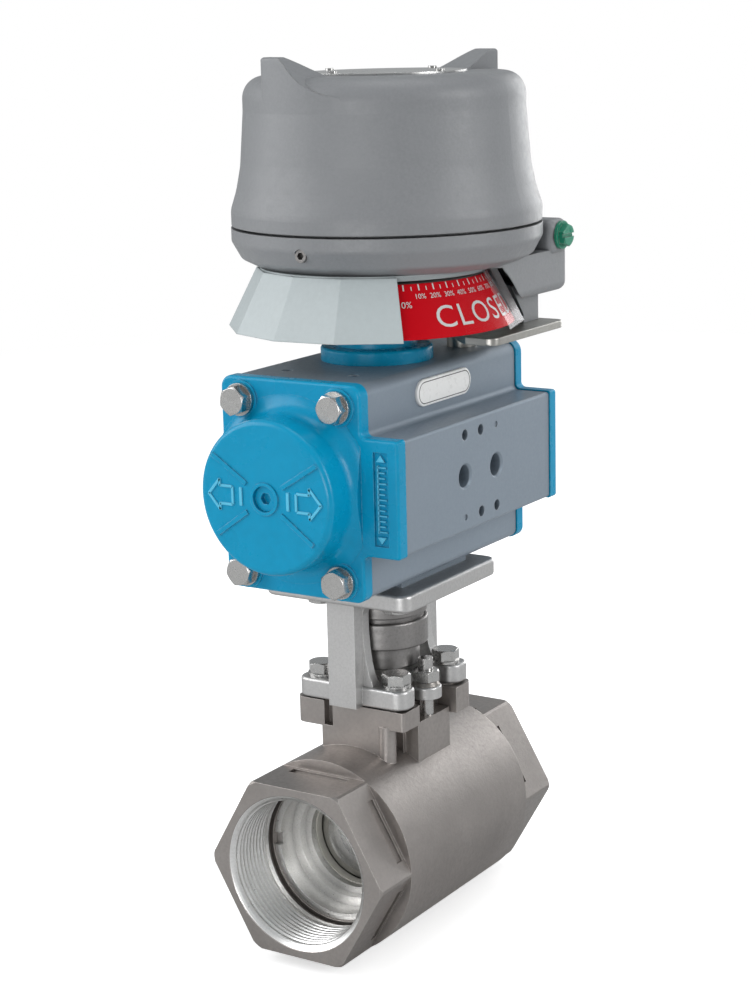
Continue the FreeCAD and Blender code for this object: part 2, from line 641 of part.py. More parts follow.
def build_end_cap(side, s):
    """One end cap: a plate with the body's outline and a round bulge; s is -1 in front, 1 behind."""
    along, back = ("-Y", "+Y") if s < 0 else ("+Y", "-Y")
    body = doc.addObject("PartDesign::Body", f"cap_{side}_plate")
    seat = f"{s} * (drive_half_length + cap_lip)"
    lift = f"-({seat})" if s < 0 else f"-({seat}) - (cap_face - drive_half_length - cap_lip)"
    outline = drawing(body, f"cap_{side}_outline", "XZ_Plane", body_outline("cap_lip"), lift)
    pad = padded(body, f"cap_{side}_thick", outline, "cap_face - drive_half_length - cap_lip")
    upright = outline_corners(body, f"cap_{side}_corners", pad, SIZES["cap_lip"])
    face = s * number("cap_face")
    softened(body, f"cap_{side}_edge", upright, 1.2, lambda e: lies_at(e, "y", face))
    level = "drive_level"
    # the bulge runs out into the plate in a hollow curve
    foot = rod(f"cap_{side}_foot", 36, 7, 0, f"{s} * (cap_face - 0.4)", level, along)
    hollow = ring_cord(f"cap_{side}_hollow", "bulge_radius + 7.1", 7.2, 0, f"{s} * (cap_face + 7.3)",
                       level, along)
    skirt = less(f"cap_{side}_skirt", foot, hollow)
    bulge = rod(f"cap_{side}_bulge", "bulge_radius", "bulge_face - cap_face + 2", 0,
                f"{s} * (cap_face - 2)", level, along)
    rim = rounded(f"cap_{side}_rim", bulge, 2.2,
                  lambda e: lies_at(e, "y", s * number("bulge_face")))
    bosses = [rod(f"cap_{side}_boss_{n}", 7.2, 3, f"{sx} * cap_bolt_x", f"{s} * (cap_face - 2.2)",
                  f"{level} + {sz} * cap_bolt_rise", along) for n, (sx, sz) in enumerate(CORNERS)]
    raised = []
    for n, thing in enumerate([skirt, *bosses]):
        window = block(f"cap_{side}_window_{n}",
                       ("-drive_half_width - 0.2", min(0, s * 90), "drive_bottom - 0.2"),
                       ("drive_half_width + 0.2", max(0, s * 90), "drive_top + 0.2"))
        raised.append(shared(f"cap_{side}_raised_{n}", thing, window))
    ribs = []
    for n, (angle, start, reach) in enumerate(((32, 9.5, 18), (-36, 9, 17), (147, 9.5, 18), (215, 9.5, 17))):
        rib = doc.addObject("Part::Box", f"cap_{side}_rib_{n}")
        rib.Length, rib.Width, rib.Height = reach, 1.6, 1.8
        radial = FreeCAD.Rotation(FreeCAD.Vector(0, 1, 0), -angle)
        spot = radial.multVec(FreeCAD.Vector(start, 0, -0.9))
        depth = s * number("bulge_face + bulge_rib") - (1.6 if s > 0 else 0)
        rib.Placement = FreeCAD.Placement(
            FreeCAD.Vector(spot.x, depth, number("drive_level") + spot.z), radial)
        ribs.append(rib)
    hub = rod(f"cap_{side}_hub", 6.2, 1.6, 0, f"{s} * (bulge_face + bulge_rib - 1.6)", level, along)
    solid = joined(f"cap_{side}_solid", body, rim, *raised, *ribs, hub)
    room = rod(f"cap_{side}_room", 24, "bulge_face - drive_half_length - 4", 0,
               f"{s} * drive_half_length", level, along)
    core = rod(f"cap_{side}_core", 8, 30, 0, f"{s} * (drive_half_length + 8)", level, along)
    way_low, way_high = sorted((s * 55.0, s * 58.0))
    cuts = [
        less(f"cap_{side}_chamber", room, core),
        rod(f"cap_{side}_stop_hole", 4.02, 40, 0, f"{s} * 50", level, along),
        rod(f"cap_{side}_stop_face", 4.9, 6, 0, f"{s} * (bulge_face - 3)", level, along),
        block(f"cap_{side}_air_way", (20, way_low, "drive_level - 11"), (40, way_high, "drive_level - 7")),
    ]
    slot_low, slot_high = sorted((s * 60.0, s * 62.0))
    cuts.append(block(f"cap_{side}_slot", (36.3, slot_low, "drive_level - 17.5"),
                      (42.3, slot_high, "drive_level + 17.5")))
    for n, (sx, sz) in enumerate(CORNERS):
        cuts.append(rod(f"cap_{side}_bolt_hole_{n}", 3.3, 14, f"{sx} * cap_bolt_x", f"{s} * 52",
                        f"{level} + {sz} * cap_bolt_rise", along))
        cuts.append(rod(f"cap_{side}_spot_face_{n}", 6.7, 9, f"{sx} * cap_bolt_x",
                        f"{s} * (cap_face + 0.8)", f"{level} + {sz} * cap_bolt_rise", along))
    node(f"end_cap_{side}", less(f"end_cap_{side}_shape", solid, *cuts))

    gasket_low, gasket_high = sorted((f"{s} * drive_half_length", seat), key=number)
    sheet_body = doc.addObject("PartDesign::Body", f"gasket_{side}_body")
    flat = drawing(sheet_body, f"gasket_{side}_outline", "XZ_Plane", body_outline("(-0.4)"),
                   f"-({gasket_high})")
    blank = padded(sheet_body, f"gasket_{side}_thick", flat, f"({gasket_high}) - ({gasket_low})")
    outline_corners(sheet_body, f"gasket_{side}_corners", blank, -0.4)
    holes = [rod(f"gasket_{side}_bore", 26.2, 4, 0, f"{s} * (drive_half_length - 1)", level, along),
             rod(f"gasket_{side}_air", 2.2, 4, 38, f"{s} * (drive_half_length - 1)",
                 "drive_level - 9", along)]
    holes += [rod(f"gasket_{side}_hole_{n}", 3.3, 4, f"{sx} * cap_bolt_x",
                  f"{s} * (drive_half_length - 1)", f"{level} + {sz} * cap_bolt_rise", along)
              for n, (sx, sz) in enumerate(CORNERS)]
    gasket = less(f"gasket_{side}_shape", sheet_body, *holes)

    drive = SIZES["drive_level"]
    spots = [(sx * SIZES["cap_bolt_x"], drive + sz * SIZES["cap_bolt_rise"]) for sx, sz in CORNERS]
    seat_face = SIZES["cap_face"] + 0.8
    washers = []
    for n, (x, z) in enumerate(spots):
        plate = rod(f"cap_{side}_washer_plate_{n}", 6.2, "cap_washer", x, s * seat_face, z, along)
        hole = rod(f"cap_{side}_washer_hole_{n}", 3.2, 4, x, s * (seat_face - 1), z, along)
        washers.append(less(f"cap_{side}_washer_{n}", plate, hole))
    under_head = s * (seat_face + SIZES["cap_washer"])
    bolts = [bolt(f"cap_{side}_bolt_{n}", 10, 4.4, 3, 24, x, under_head, z, along, 11 + 23 * n)
             for n, (x, z) in enumerate(spots)]
    screw = rod(f"stop_{side}_screw", 3.98, 19.5, 0, f"{s} * 54.5", level, along)
    head = rod(f"stop_{side}_head", 4.8, 2.2, 0, f"{s} * (bulge_face - 3)", level, along)
    socket = hexagon(f"stop_{side}_socket", 4, 3, 0, f"{s} * (bulge_face - 2.8)", level, along)
    neck = rod(f"stop_{side}_neck", 3.98, 8, 0, f"{s} * (bulge_face - 9)", level, along)
    stop = less(f"stop_{side}_shape", joined(f"stop_{side}_solid", screw, neck, head), socket)
    return [gasket], washers, bolts, [stop]


def build_end_caps():
    """Both caps; the small pieces that hold them are shared out into one object of each kind."""
    names = ("end_cap_gaskets", "end_cap_washers", "end_cap_bolts", "travel_stops")
    kinds = zip(names, build_end_cap("front", -1), build_end_cap("rear", 1))
    for name, front, rear in kinds:
        node(name, group(f"{name}_set", *front, *rear))


def involute_angle(radius, base):
    """Angle that an involute has turned through when it reaches a radius."""
    lean = math.acos(min(1.0, base / radius))
    return math.tan(lean) - lean


def gear_face():
    """Outline of the pinion's teeth, one tooth centred on +X."""
    module, teeth = number("gear_module"), int(number("gear_teeth"))
    pitch = module * teeth / 2
    base = pitch * math.cos(math.radians(20))
    tip, root = pitch + 1.3, pitch - 1.8
    half = (math.pi * module / 4 - number("tooth_backlash")) / pitch
    flank = [base + (tip - base) * n / 5 for n in range(6)]
    at_flank = [half + involute_angle(pitch, base) - involute_angle(r, base) for r in flank]
    points = []
    for tooth in range(teeth):
        middle = 2 * math.pi * tooth / teeth
        low = [(root, middle - at_flank[0])]
        low += [(r, middle - a) for r, a in zip(flank, at_flank)]
        high = [(r, 2 * middle - a) for r, a in reversed(low)]
        points += [FreeCAD.Vector(r * math.cos(a), r * math.sin(a), 0) for r, a in low + high]
    return Part.Face(Part.makePolygon(points + points[:1]))


def build_pinion():
    half = number("gear_half_height")
    gear = doc.addObject("Part::Feature", "pinion_gear")
    gear.Shape = gear_face().extrude(FreeCAD.Vector(0, 0, 2 * half))
    gear.Placement = FreeCAD.Placement(
        FreeCAD.Vector(0, 0, number("drive_level - gear_half_height")), FreeCAD.Rotation())
    solid = joined(
        "pinion_solid", gear,
        rod("pinion_low_journal", "journal_radius", "drive_level - gear_half_height - 147", 0, 0, 147),
        rod("pinion_high_journal", "journal_radius", "229.5 - drive_level - gear_half_height", 0, 0,
            "drive_level + gear_half_height"),
        rod("pinion_top", 9.5, 17, 0, 0, 229),
    )
    cuts = [
        block("pinion_square", (-7.1, -7.1, 146), (7.1, 7.1, 164)),
        block("pinion_slot", (-2.1, -12, 238), (2.1, 12, 247)),
        tube("pinion_circlip_groove", 8.7, 11, 241.6, 243),
    ]
    node("pinion", less("pinion_shape", solid, *cuts))


def build_piston(side, s):
    """One piston with its rack; s is -1 in front, where the rack passes the pinion on the -X side."""
    along = "-Y" if s < 0 else "+Y"
    level, module = number("drive_level"), number("gear_module")
    pitch_line = number("gear_module * gear_teeth / 2")
    crown = rod(f"piston_{side}_crown", "crown_radius", "crown_outer - crown_inner", 0,
                f"{s} * crown_inner", "drive_level", along)
    back = s * (pitch_line + 1.7)
    low_x, high_x = sorted((back, s * 30))
    low_y, high_y = sorted((s * 26, -s * 24))
    bar = block(f"piston_{side}_bar", (low_x, low_y, level - 12.5), (high_x, high_y, level + 12.5))
    trim = rod(f"piston_{side}_trim", 25.4, 80, 0, -40, "drive_level", "+Y")
    arm = shared(f"piston_{side}_arm", bar, trim)
    # rack teeth with straight flanks; the +X rack has a gap, and the -X rack a tooth, at the middle
    step = math.pi * module
    half = step / 4 - number("tooth_backlash")
    lean = math.tan(math.radians(20))
    shift = 0.5 if s > 0 else 0.0
    teeth = []
    for n in range(-6, 7):
        middle = -s * (n + shift) * step
        if not -5.5 < -s * middle < 22.5:
            continue
        corners = []
        for height, sign in ((-1.2, -1), (-1.2, 1), (1.9, 1), (1.9, -1)):
            wide = half + lean * height
            corners.append(FreeCAD.Vector(s * (pitch_line + height), middle + sign * wide, level - 12.5))
        face = Part.Face(Part.makePolygon(corners + corners[:1]))
        teeth.append(face.extrude(FreeCAD.Vector(0, 0, 25)))
    rack = doc.addObject("Part::Feature", f"piston_{side}_teeth")
    rack.Shape = Part.makeCompound(teeth)
    solid = joined(f"piston_{side}_solid", crown, arm, rack)
    near, far = sorted((s * 31.6, s * 34.6))
    groove = ring_on_y(f"piston_{side}_groove", 22.9, 27, near, far, "drive_level")
    node(f"piston_{side}", less(f"piston_{side}_shape", solid, groove))
    node(f"piston_o_ring_{side}", ring_cord(f"piston_{side}_o_ring", 24.55, 1.4, 0, s * 33.1,
                                            "drive_level", "+Y"))


def build_pinion_trim():
    inner, outer = "journal_radius + 0.05", "journal_hole - 0.05"
    for name, levels in (("pinion_bearings", ((148, 158), (217, 226))),
                         ("pinion_seals", ((158.2, 161), (226.2, 229)))):
        node(name, group(f"{name}_pair", *[
            tube(f"{name}_{n}", inner, outer, low, high) for n, (low, high) in enumerate(levels)]))
    ring = rod("collar_ring", 22, 5.5, 0, 0, "drive_top")
    ring = rounded("collar_ring_edge", ring, 1.2, lambda e: lies_at(e, "z", SIZES["drive_top"] + 5.5))
    hub = rod("collar_hub", 16, 9.8, 0, 0, "drive_top")
    hole = rod("collar_hole", 9.9, 30, 0, 0, 225)
    node("top_collar", less("top_collar_shape", joined("collar_solid", ring, hub), hole))
    clip = tube("circlip_ring", 8.75, 12.6, 241.7, 242.9)
    gap = block("circlip_gap", (-2.5, 0, 241), (2.5, 14, 244))
    node("pinion_circlip", less("pinion_circlip_shape", clip, gap))
    badge = joined(
        "badge_pill", block("badge_middle", ("drive_half_width", -16.8, 216.8),
                            ("drive_half_width + 1.2", 12.8, 227.2)),
        *[rod(f"badge_end_{n}", 5.2, 1.2, "drive_half_width", y, 222, "+X")
          for n, y in enumerate((-16.8, 12.8))])
    node("name_badge", rounded("name_badge_shape", badge, 0.5,
                               lambda e: lies_at(e, "x", SIZES["drive_half_width"] + 1.2)))


# ---------------------------------------------------------------- indicator

def frustum(name, low_radius, high_radius, low, high):
    """A many-sided cone with one corner at the turn of the indicator's first window."""
    sections = []
    for end, radius, level in (("low", low_radius, low), ("high", high_radius, high)):
        ring = doc.addObject("Part::RegularPolygon", f"{name}_{end}")
        ring.Polygon = int(number("cone_sides"))
        ring.Placement = FreeCAD.Placement(
            FreeCAD.Vector(), FreeCAD.Rotation(FreeCAD.Vector(0, 0, 1), number("cone_turn")))
        bind(ring, Circumradius=radius)
        sections.append(place(ring, 0, 0, level))
    loft = doc.addObject("Part::Loft", name)
    loft.Sections = sections
    loft.Solid, loft.Ruled = True, True
    return loft


def sector(name, start, sweep, radius, low, high, inner=0):
    """A slice of a cylinder between two angles, measured from +X."""
    thing = rod(name, radius, f"({high}) - ({low})", 0, 0, low)
    thing.Angle = sweep
    thing.Placement = FreeCAD.Placement(
        FreeCAD.Vector(), FreeCAD.Rotation(FreeCAD.Vector(0, 0, 1), start))
    return place(thing, 0, 0, low)


def build_indicator():
    facet = 360 / SIZES["cone_sides"]
    window, wall = 3 * facet, 4 * facet
    turn = SIZES["cone_turn"]

    def shell(name):
        outside = frustum(f"{name}_outside", "cone_radius_low", "cone_radius_high",
                          "cone_bottom", "cone_top")
        inside = cone(f"{name}_inside", 54.6, 43.1, "cone_top - cone_bottom", 0, 0, "cone_bottom")
        return less(name, outside, inside)

    walls = [shared(f"shroud_wall_{n}", shell(f"shroud_shell_{n}"),
                    sector(f"shroud_slice_{n}", turn + window + 180 * n, wall, 70, 240, 270))
             for n in range(2)]
    cap = tube("shroud_top", 14.2, 44.4, 265.9, 268)
    strips = [shared(f"shroud_strip_{n}", cone(f"shroud_strip_cone_{n}", 45, 44, 2, 0, 0, 265.9),
                     sector(f"shroud_strip_slice_{n}", turn + window + 180 * n, wall, 70, 240, 270))
              for n in range(2)]
    filled = joined("shroud_solid", cap, *walls, *strips)
    node("indicator_shroud", less("indicator_shroud_shape", filled, rod("shroud_hole", 14.2, 40, 0, 0, 240)))
    panes = [shared(f"pane_{n}", shell(f"pane_shell_{n}"),
                    sector(f"pane_slice_{n}", turn + 180 * n + 0.1, window - 0.2, 70, 240, 270))
             for n in range(2)]
    rim = rod("pane_rim", 44.45, 5, 0, 0, 265.5)
    node("indicator_windows", less("indicator_windows_shape", group("pane_pair", *panes), rim))

    hub = rod("rotor_hub", 9, 11, 0, 0, 253.6)
    disc = rod("rotor_disc", 42.6, 2.2, 0, 0, 262.4)
    skirt = less("rotor_skirt", cone("rotor_skirt_out", 53.2, 42.6, 19.3, 0, 0, 245.3),
                 cone("rotor_skirt_in", 51.8, 41.2, 19.3, 0, 0, 245.3))
    node("indicator_rotor", less("indicator_rotor_shape", joined("rotor_solid", hub, disc, skirt),
                                 rod("rotor_hole", 6.03, 30, 0, 0, 250)))
    for name, start in (("closed_panels", -49), ("open_panels", -139)):
        pieces = []
        for n in range(2):
            outside = cone(f"{name}_out_{n}", 53.8, 43.2, 19.3, 0, 0, 245.3)
            inside = cone(f"{name}_in_{n}", 53.22, 42.62, 19.3, 0, 0, 245.3)
            pieces.append(shared(f"{name}_{n}", less(f"{name}_shell_{n}", outside, inside),
                                 sector(f"{name}_slice_{n}", start + 180 * n, 88, 70, 240, 270)))
        node(name, group(f"{name}_pair", *pieces))

    block_end = rod("shaft_block", 11, 7, 0, 0, 246.4)
    tongue = block("shaft_tongue", (-2, -8.4, 238.4), (2, 8.4, 247))
    post = rod("shaft_post", 6, 42, 0, 0, 250)
    node("indicator_shaft", joined("indicator_shaft_shape", block_end, tongue, post))


# ---------------------------------------------------------------- position monitor

def build_support():
    body = doc.addObject("PartDesign::Body", "support_plate")
    outline = drawing(body, "support_outline", "XY_Plane", [
        (53, 0), (53, 57), (-53, 57), (-53, 0), (-40, 0), (-24, 16), (24, 16), (40, 0)], "support_bottom")
    pad = padded(body, "support_thick", outline, "support_top - support_bottom")
    softened(body, "support_corners", pad, 4, lambda e: straight(e, "z") and abs(e.BoundBox.XMin) > 50)
    plate = body
    cuts = [rod("support_hole", 24, 9, 0, 0, "support_bottom - 3")]
    cuts += [rod(f"support_screw_hole_{s}", 2.7, 9, 15 * s, 40, "support_bottom - 3") for s in (-1, 1)]
    cuts += [rod(f"support_foot_hole_{s}", 2.7, 9, f"{s} * foot_screw_x", "foot_screw_y",
                 "support_bottom - 3") for s in (-1, 1)]
    cut = less("support_cut", plate, *cuts)
    low, high = number("support_bottom"), number("support_top")
    node("monitor_bracket", rounded("monitor_bracket_shape", cut, 0.5, lambda e: (
        (lies_at(e, "z", low) or lies_at(e, "z", high)) and e.BoundBox.YMax > 41
        and (e.Curve.TypeId != "Part::GeomCircle" or e.Curve.Radius > 3.5))))
    node("bracket_spacers", group("bracket_spacers_pair", *[
        tube(f"bracket_spacer_{s}", 2.7, 6, "drive_top", "support_bottom", 15 * s, 40) for s in (-1, 1)]))
    node("monitor_bracket_screws", group("monitor_bracket_screws_pair", *[
        less(f"support_screw_{s}",
             joined(f"support_screw_solid_{s}", rod(f"support_screw_head_{s}", 4.2, 4, 15 * s, 40, 241.5),
                    rod(f"support_screw_shank_{s}", 2.08, 20, 15 * s, 40, 222)),
             hexagon(f"support_screw_socket_{s}", 4, 3, 15 * s, 40, 243)) for s in (-1, 1)]))
    node("monitor_foot_screws", group("monitor_foot_screws_pair", *[
        joined(f"foot_screw_{s}",
               rod(f"foot_screw_head_{s}", 4.6, 3, f"{s} * foot_screw_x", "foot_screw_y", 235.5),
               rod(f"foot_screw_shank_{s}", 2.5, 12, f"{s} * foot_screw_x", "foot_screw_y", 238))
        for s in (-1, 1)]))


def build_monitor_base():
    body = doc.addObject("PartDesign::Body", "base_turning")
    corners = [(0, 268), (51, 268), (57, 271), ("flange_radius", 277.5), ("flange_radius", "flange_top"),
               ("spigot_radius", "flange_top"), ("spigot_radius", 291), ("cavity_wall", 291),
               ("cavity_wall", 272), (0, 272)]
    outline = drawing(body, "base_section", "XZ_Plane", corners)
    turn = spun(body, "base_round", outline)
    softened(body, "base_edges", turn, 2.5, lambda e: e.Curve.TypeId == "Part::GeomCircle" and (
        abs(e.Curve.Center.z - 271) < 0.1 or abs(e.Curve.Center.z - 277.5) < 0.1))
    body.setExpression("Placement.Base.y", formula("monitor_y"))
    def cone_room(name, high_radius=47.6):
        """The space that the indicator's shroud stands in, with a little room all round."""
        slope = cone(f"{name}_slope", 59.2, high_radius, "cone_top - cone_bottom", 0, 0, "cone_bottom")
        above = rod(f"{name}_above", 47.6, 1, 0, 0, 267.2)
        below = rod(f"{name}_below", 59.2, 9, 0, 0, 236)
        return joined(name, slope, above, below)

    rear = block("base_rear", (-52, 6, 253), (52, 62, 270))
    rear = rounded("base_rear_edges", rear, 4,
                   lambda e: straight(e, "z") or (lies_at(e, "z", 253) and e.BoundBox.YMax > 7))
    rear = less("base_rear_shape", rear, cone_room("base_cone_room", 52.4))
    feet = []
    for s in (-1, 1):
        left, right = sorted((s * 24, s * 43))
        foot = block(f"base_foot_{s}", (left, 30, "support_top"), (right, 54.5, 257))
        foot = rounded(f"base_foot_edges_{s}", foot, 2, lambda e: straight(e, "z"))
        feet.append(less(f"base_foot_cut_{s}", foot, cone_room(f"base_foot_room_{s}")))
    lug = block("base_lug", (38, 45.4, 268), ("ground_x", 59.4, 281.8))
    lug = rounded("base_lug_edges", lug, 3.2, lambda e: not lies_at(e, "x", 38))
    hubs = []
    for s in (-1, 1):
        hub = rod(f"base_hub_{s}", 12.9, 27, f"{s} * conduit_x", "conduit_face - 27", "conduit_level", "+Y")
        hubs.append(less(f"base_hub_cut_{s}", hub, cone_room(f"base_hub_room_{s}")))
    boss = rod("base_shaft_boss", 12, 6, 0, 0, 270)
    inside = rod("base_inside", "cavity_wall", 40, 0, "monitor_y", 272)
    outer = less("base_outer_extras", joined("base_extras", rear, lug, *hubs), inside)
    bosses = [rod(f"base_board_post_{n}", 3, 6, x, y, 270) for n, (x, y) in enumerate(BOARD_POSTS)]
    solid = joined("base_solid", body, outer, *feet, boss, *bosses)
    cuts = [
        rod("base_shaft_hole", 8.5, 30, 0, 0, 262),
        rod("base_set_screw_hole", 2.5, 12, 0, "monitor_y - flange_radius", 276, "+Y"),
        rod("base_ground_hole", 2.5, 12, "ground_x - 11", "ground_y", "ground_level", "+X"),
        less("base_groove", rod("base_groove_out", 57, 2, 0, "monitor_y", 284.2),
             rod("base_groove_in", 54.3, 2, 0, "monitor_y", 284.2)),
    ]
    for s in (-1, 1):
        cuts.append(rod(f"base_conduit_{s}", "conduit_radius", 14, f"{s} * conduit_x", "conduit_face - 14",
                        "conduit_level", "+Y"))
        cuts.append(rod(f"base_wire_way_{s}", 3.4, 16, f"{s} * conduit_x", 46, 275.6, "+Y"))
        cuts.append(rod(f"base_foot_screw_hole_{s}", 2.52, 12, f"{s} * foot_screw_x", "foot_screw_y", 240))
    cuts += [rod(f"base_board_hole_{n}", 1.25, 8, x, y, 271) for n, (x, y) in enumerate(BOARD_POSTS)]
    node("monitor_base", less("monitor_base_shape", solid, *cuts))
    node("shaft_bushing", tube("shaft_bushing_shape", 6.06, 8.45, 266, 275))
    node("monitor_o_ring", ring_cord("monitor_o_ring_shape", 55.15, 0.8, 0, "monitor_y", 285.2))
    plug_head = rod("plug_head", 11, 4, "-conduit_x", "conduit_face", "conduit_level", "+Y")
    plug_body = rod("plug_body", "conduit_radius - 0.05", 11, "-conduit_x", "conduit_face - 10.5",
                    "conduit_level", "+Y")
    plug_key = hexagon("plug_key", 8, 6, "-conduit_x", "conduit_face - 1", "conduit_level", "+Y")
    node("conduit_plug", less("conduit_plug_shape", joined("plug_solid", plug_head, plug_body), plug_key))
    set_body = rod("set_screw_body", 2.45, 8, 0, "monitor_y - flange_radius + 0.5", 276, "+Y")
    set_key = hexagon("set_screw_key", 2.5, 3, 0, "monitor_y - flange_radius", 276, "+Y")
    node("set_screw", less("set_screw_shape", set_body, set_key))
    ground = joined(
        "ground_solid",
        crowned("ground_head", 8, 2.8, "ground_x + 1.1", "ground_y", "ground_level", "+X", 10),
        rod("ground_shank", 2.45, 11.5, "ground_x - 10", "ground_y", "ground_level", "+X"),
        rod("ground_clamp", 5.6, 1.2, "ground_x", "ground_y", "ground_level", "+X"))
    slot = block("ground_slot", ("ground_x + 3", "ground_y - 6", "ground_level - 0.7"),
                 ("ground_x + 5", "ground_y + 6", "ground_level + 0.7"))
    node("ground_screw", less("ground_screw_shape", ground, slot))


BOARD_POSTS = [(-36, -14), (36, -14), (-36, 34), (36, 34)]


def build_monitor_inside():
    board = rod("board_disc", 48, 1.6, 0, "monitor_y", 276)
    board_cuts = [rod("board_hole", 15, 6, 0, 0, 274)]
    board_cuts += [rod(f"board_post_hole_{n}", 1.3, 6, x, y, 274) for n, (x, y) in enumerate(BOARD_POSTS)]
    node("circuit_board", less("circuit_board_shape", board, *board_cuts))
    node("board_screws", group("board_screws_set", *[
        joined(f"board_screw_{n}", rod(f"board_screw_head_{n}", 2.4, 1.8, x, y, 277.6),
               rod(f"board_screw_shank_{n}", 1.2, 6, x, y, 272)) for n, (x, y) in enumerate(BOARD_POSTS)]))
    module = rounded("module_edges", block("module_block", (-32, 17, 277.6), (4, 49, 302)), 2.5,
                     lambda e: straight(e, "z") or lies_at(e, "z", 302))
    node("sensor_module", module)
    strip = block("terminal_strip", (9, 17, 277.6), (31, 47, 290))
    holes = [rod(f"terminal_hole_{n}", 1.9, 5, 20 + 5 * s, 20.5 + 4.6 * n, 286)
             for n in range(6) for s in (-1, 1)]
    node("terminal_block", less("terminal_block_shape", strip, *holes))
    wheel = rod("target_wheel", 13, 6, 0, 0, 279)
    nose = block("target_nose", (-4, 8, 279), (4, 15.5, 285))
    node("position_target", less("position_target_shape", joined("target_solid", wheel, nose),
                                 rod("target_hole", 6.03, 20, 0, 0, 275)))


def build_cover():
    body = doc.addObject("PartDesign::Body", "cover_turning")
    outer = [("flange_radius - 0.2", "cover_bottom"), ("flange_radius - 0.2", 289.5), (58, 297),
             (56.2, 306), (54.5, 327), (54.5, "cover_top"), (0, "cover_top")]
    inner = [(0, "cover_top - 5"), (49.6, "cover_top - 5"), (50.5, 326), (51.3, 317), (52.4, 306),
             ("spigot_radius - 2", 296), ("spigot_radius + 0.35", 292),
             ("spigot_radius + 0.35", "cover_bottom")]
    outline = drawing(body, "cover_section", "XZ_Plane", outer + inner)
    turn = spun(body, "cover_round", outline)

    def circle_at(level, radius):
        return lambda e: (e.Curve.TypeId == "Part::GeomCircle" and abs(e.Curve.Center.z - level) < 0.1
                          and abs(e.Curve.Radius - radius) < 0.3)

    smooth = softened(body, "cover_waist", turn, 8, circle_at(289.5, number("flange_radius - 0.2")))
    for level, radius, bend in ((297, 58, 20), (306, 56.2, 30)):
        smooth = softened(body, f"cover_bend_{level}", smooth, bend, circle_at(level, radius))
    softened(body, "cover_shoulder", smooth, 8.5, circle_at(number("cover_top"), 54.5))
    body.setExpression("Placement.Base.y", formula("monitor_y"))
    pieces = [body]
    for n, angle in enumerate((82.5, 262.5)):
        crown = rod(f"lug_{n}_wall", 54.5, "lug_top - 322", 0, 0, 322)
        bowl = cone(f"lug_{n}_bowl", 31, 50.5, "lug_top - cover_top + 2.5", 0, 0, "cover_top - 2.5")
        core = rod(f"lug_{n}_core", 31, 17, 0, 0, 321.5)
        ring = less(f"lug_{n}_rim", crown, bowl, core)
        slide = Part.BSplineCurve()
        slide.interpolate([FreeCAD.Vector(30, y, z) for y, z in (
            (-6, 347.5), (-2.5, 345), (1.5, 341), (6.5, 337.4), (13, 334.6), (21, 333))])
        rim = Part.makePolygon([FreeCAD.Vector(30, 21, 333), FreeCAD.Vector(30, 21, 322),
                                FreeCAD.Vector(30, -15.5, 322), FreeCAD.Vector(30, -15.5, 347.5),
                                FreeCAD.Vector(30, -6, 347.5)])
        ramp = Part.Wire([slide.toShape(), *rim.Edges])
        wedge = doc.addObject("Part::Feature", f"lug_{n}_ramp")
        wedge.Shape = Part.Face(ramp).extrude(FreeCAD.Vector(30, 0, 0))
        wedge.Placement = FreeCAD.Placement(
            FreeCAD.Vector(), FreeCAD.Rotation(FreeCAD.Vector(0, 0, 1), angle))
        sharp = shared(f"lug_{n}_sharp", ring, wedge)
        lug = rounded(f"lug_{n}", sharp, 1.2, lambda e: (
            e.BoundBox.ZMin > SIZES["lug_top"] - 0.1 and not straight(e, "z")))
        lug.Placement = FreeCAD.Placement(FreeCAD.Vector(0, number("monitor_y"), 0), FreeCAD.Rotation())
        lug.setExpression("Placement.Base.y", formula("monitor_y"))
        pieces.append(lug)
    solid = joined("cover_solid", *pieces)
    room = rod("cover_room", 50, "cover_top - 5 - 300", 0, "monitor_y", 300)
    node("cover", less("cover_shape", solid, room))
    plate = rod("nameplate_disc", 32, 0.8, 0, "monitor_y", "cover_top")
    turns = [math.radians(a) for a in range(-10, 350, 90)]
    spots = [(28.5 * math.cos(turn), 28.5 * math.sin(turn)) for turn in turns]
    holes = [rod(f"nameplate_hole_{n}", 1.1, 3, x, f"monitor_y + {y}", "cover_top - 1")
             for n, (x, y) in enumerate(spots)]
    node("nameplate", less("nameplate_shape", plate, *holes))
    node("nameplate_screws", group("nameplate_screws_set", *[
        joined(f"nameplate_screw_{n}",
               rod(f"nameplate_screw_head_{n}", 1.7, 0.8, x, f"monitor_y + {y}", "cover_top + 0.8"),
               rod(f"nameplate_screw_shank_{n}", 1.05, 1.2, x, f"monitor_y + {y}", "cover_top"))
        for n, (x, y) in enumerate(spots)]))


# ---------------------------------------------------------------- everything

build_valve_body()
build_valve_inside()
build_bracket()
build_coupler()
build_actuator_body()
build_end_caps()
build_piston("front", -1)
build_piston("rear", 1)
build_pinion()
build_pinion_trim()
build_indicator()
build_support()
build_monitor_base()
build_monitor_inside()
build_cover()
doc.recompute()

faults = [f"{thing.Name} {thing.State}" for thing in doc.Objects
          if "Invalid" in thing.State or "Error" in thing.State]
for part in NODES:
    if part.Shape.isNull() or not part.Shape.isValid() or not part.Shape.Solids:
        faults.append(f"{part.Label} has no valid solid")
if faults:
    raise SystemExit("not written: " + "; ".join(faults))

os.makedirs("parts", exist_ok=True)
for part in NODES:
    part.Shape.exportStep(f"parts/{part.Label}.step")
    box = part.Shape.BoundBox
    print(f"{part.Label:26s} solids {len(part.Shape.Solids):2d}  volume {part.Shape.Volume:10.1f}  "
          f"x {box.XMin:7.2f} {box.XMax:7.2f}  y {box.YMin:7.2f} {box.YMax:7.2f}  "
          f"z {box.ZMin:7.2f} {box.ZMax:7.2f}")
print(len(NODES), "nodes")
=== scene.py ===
import math

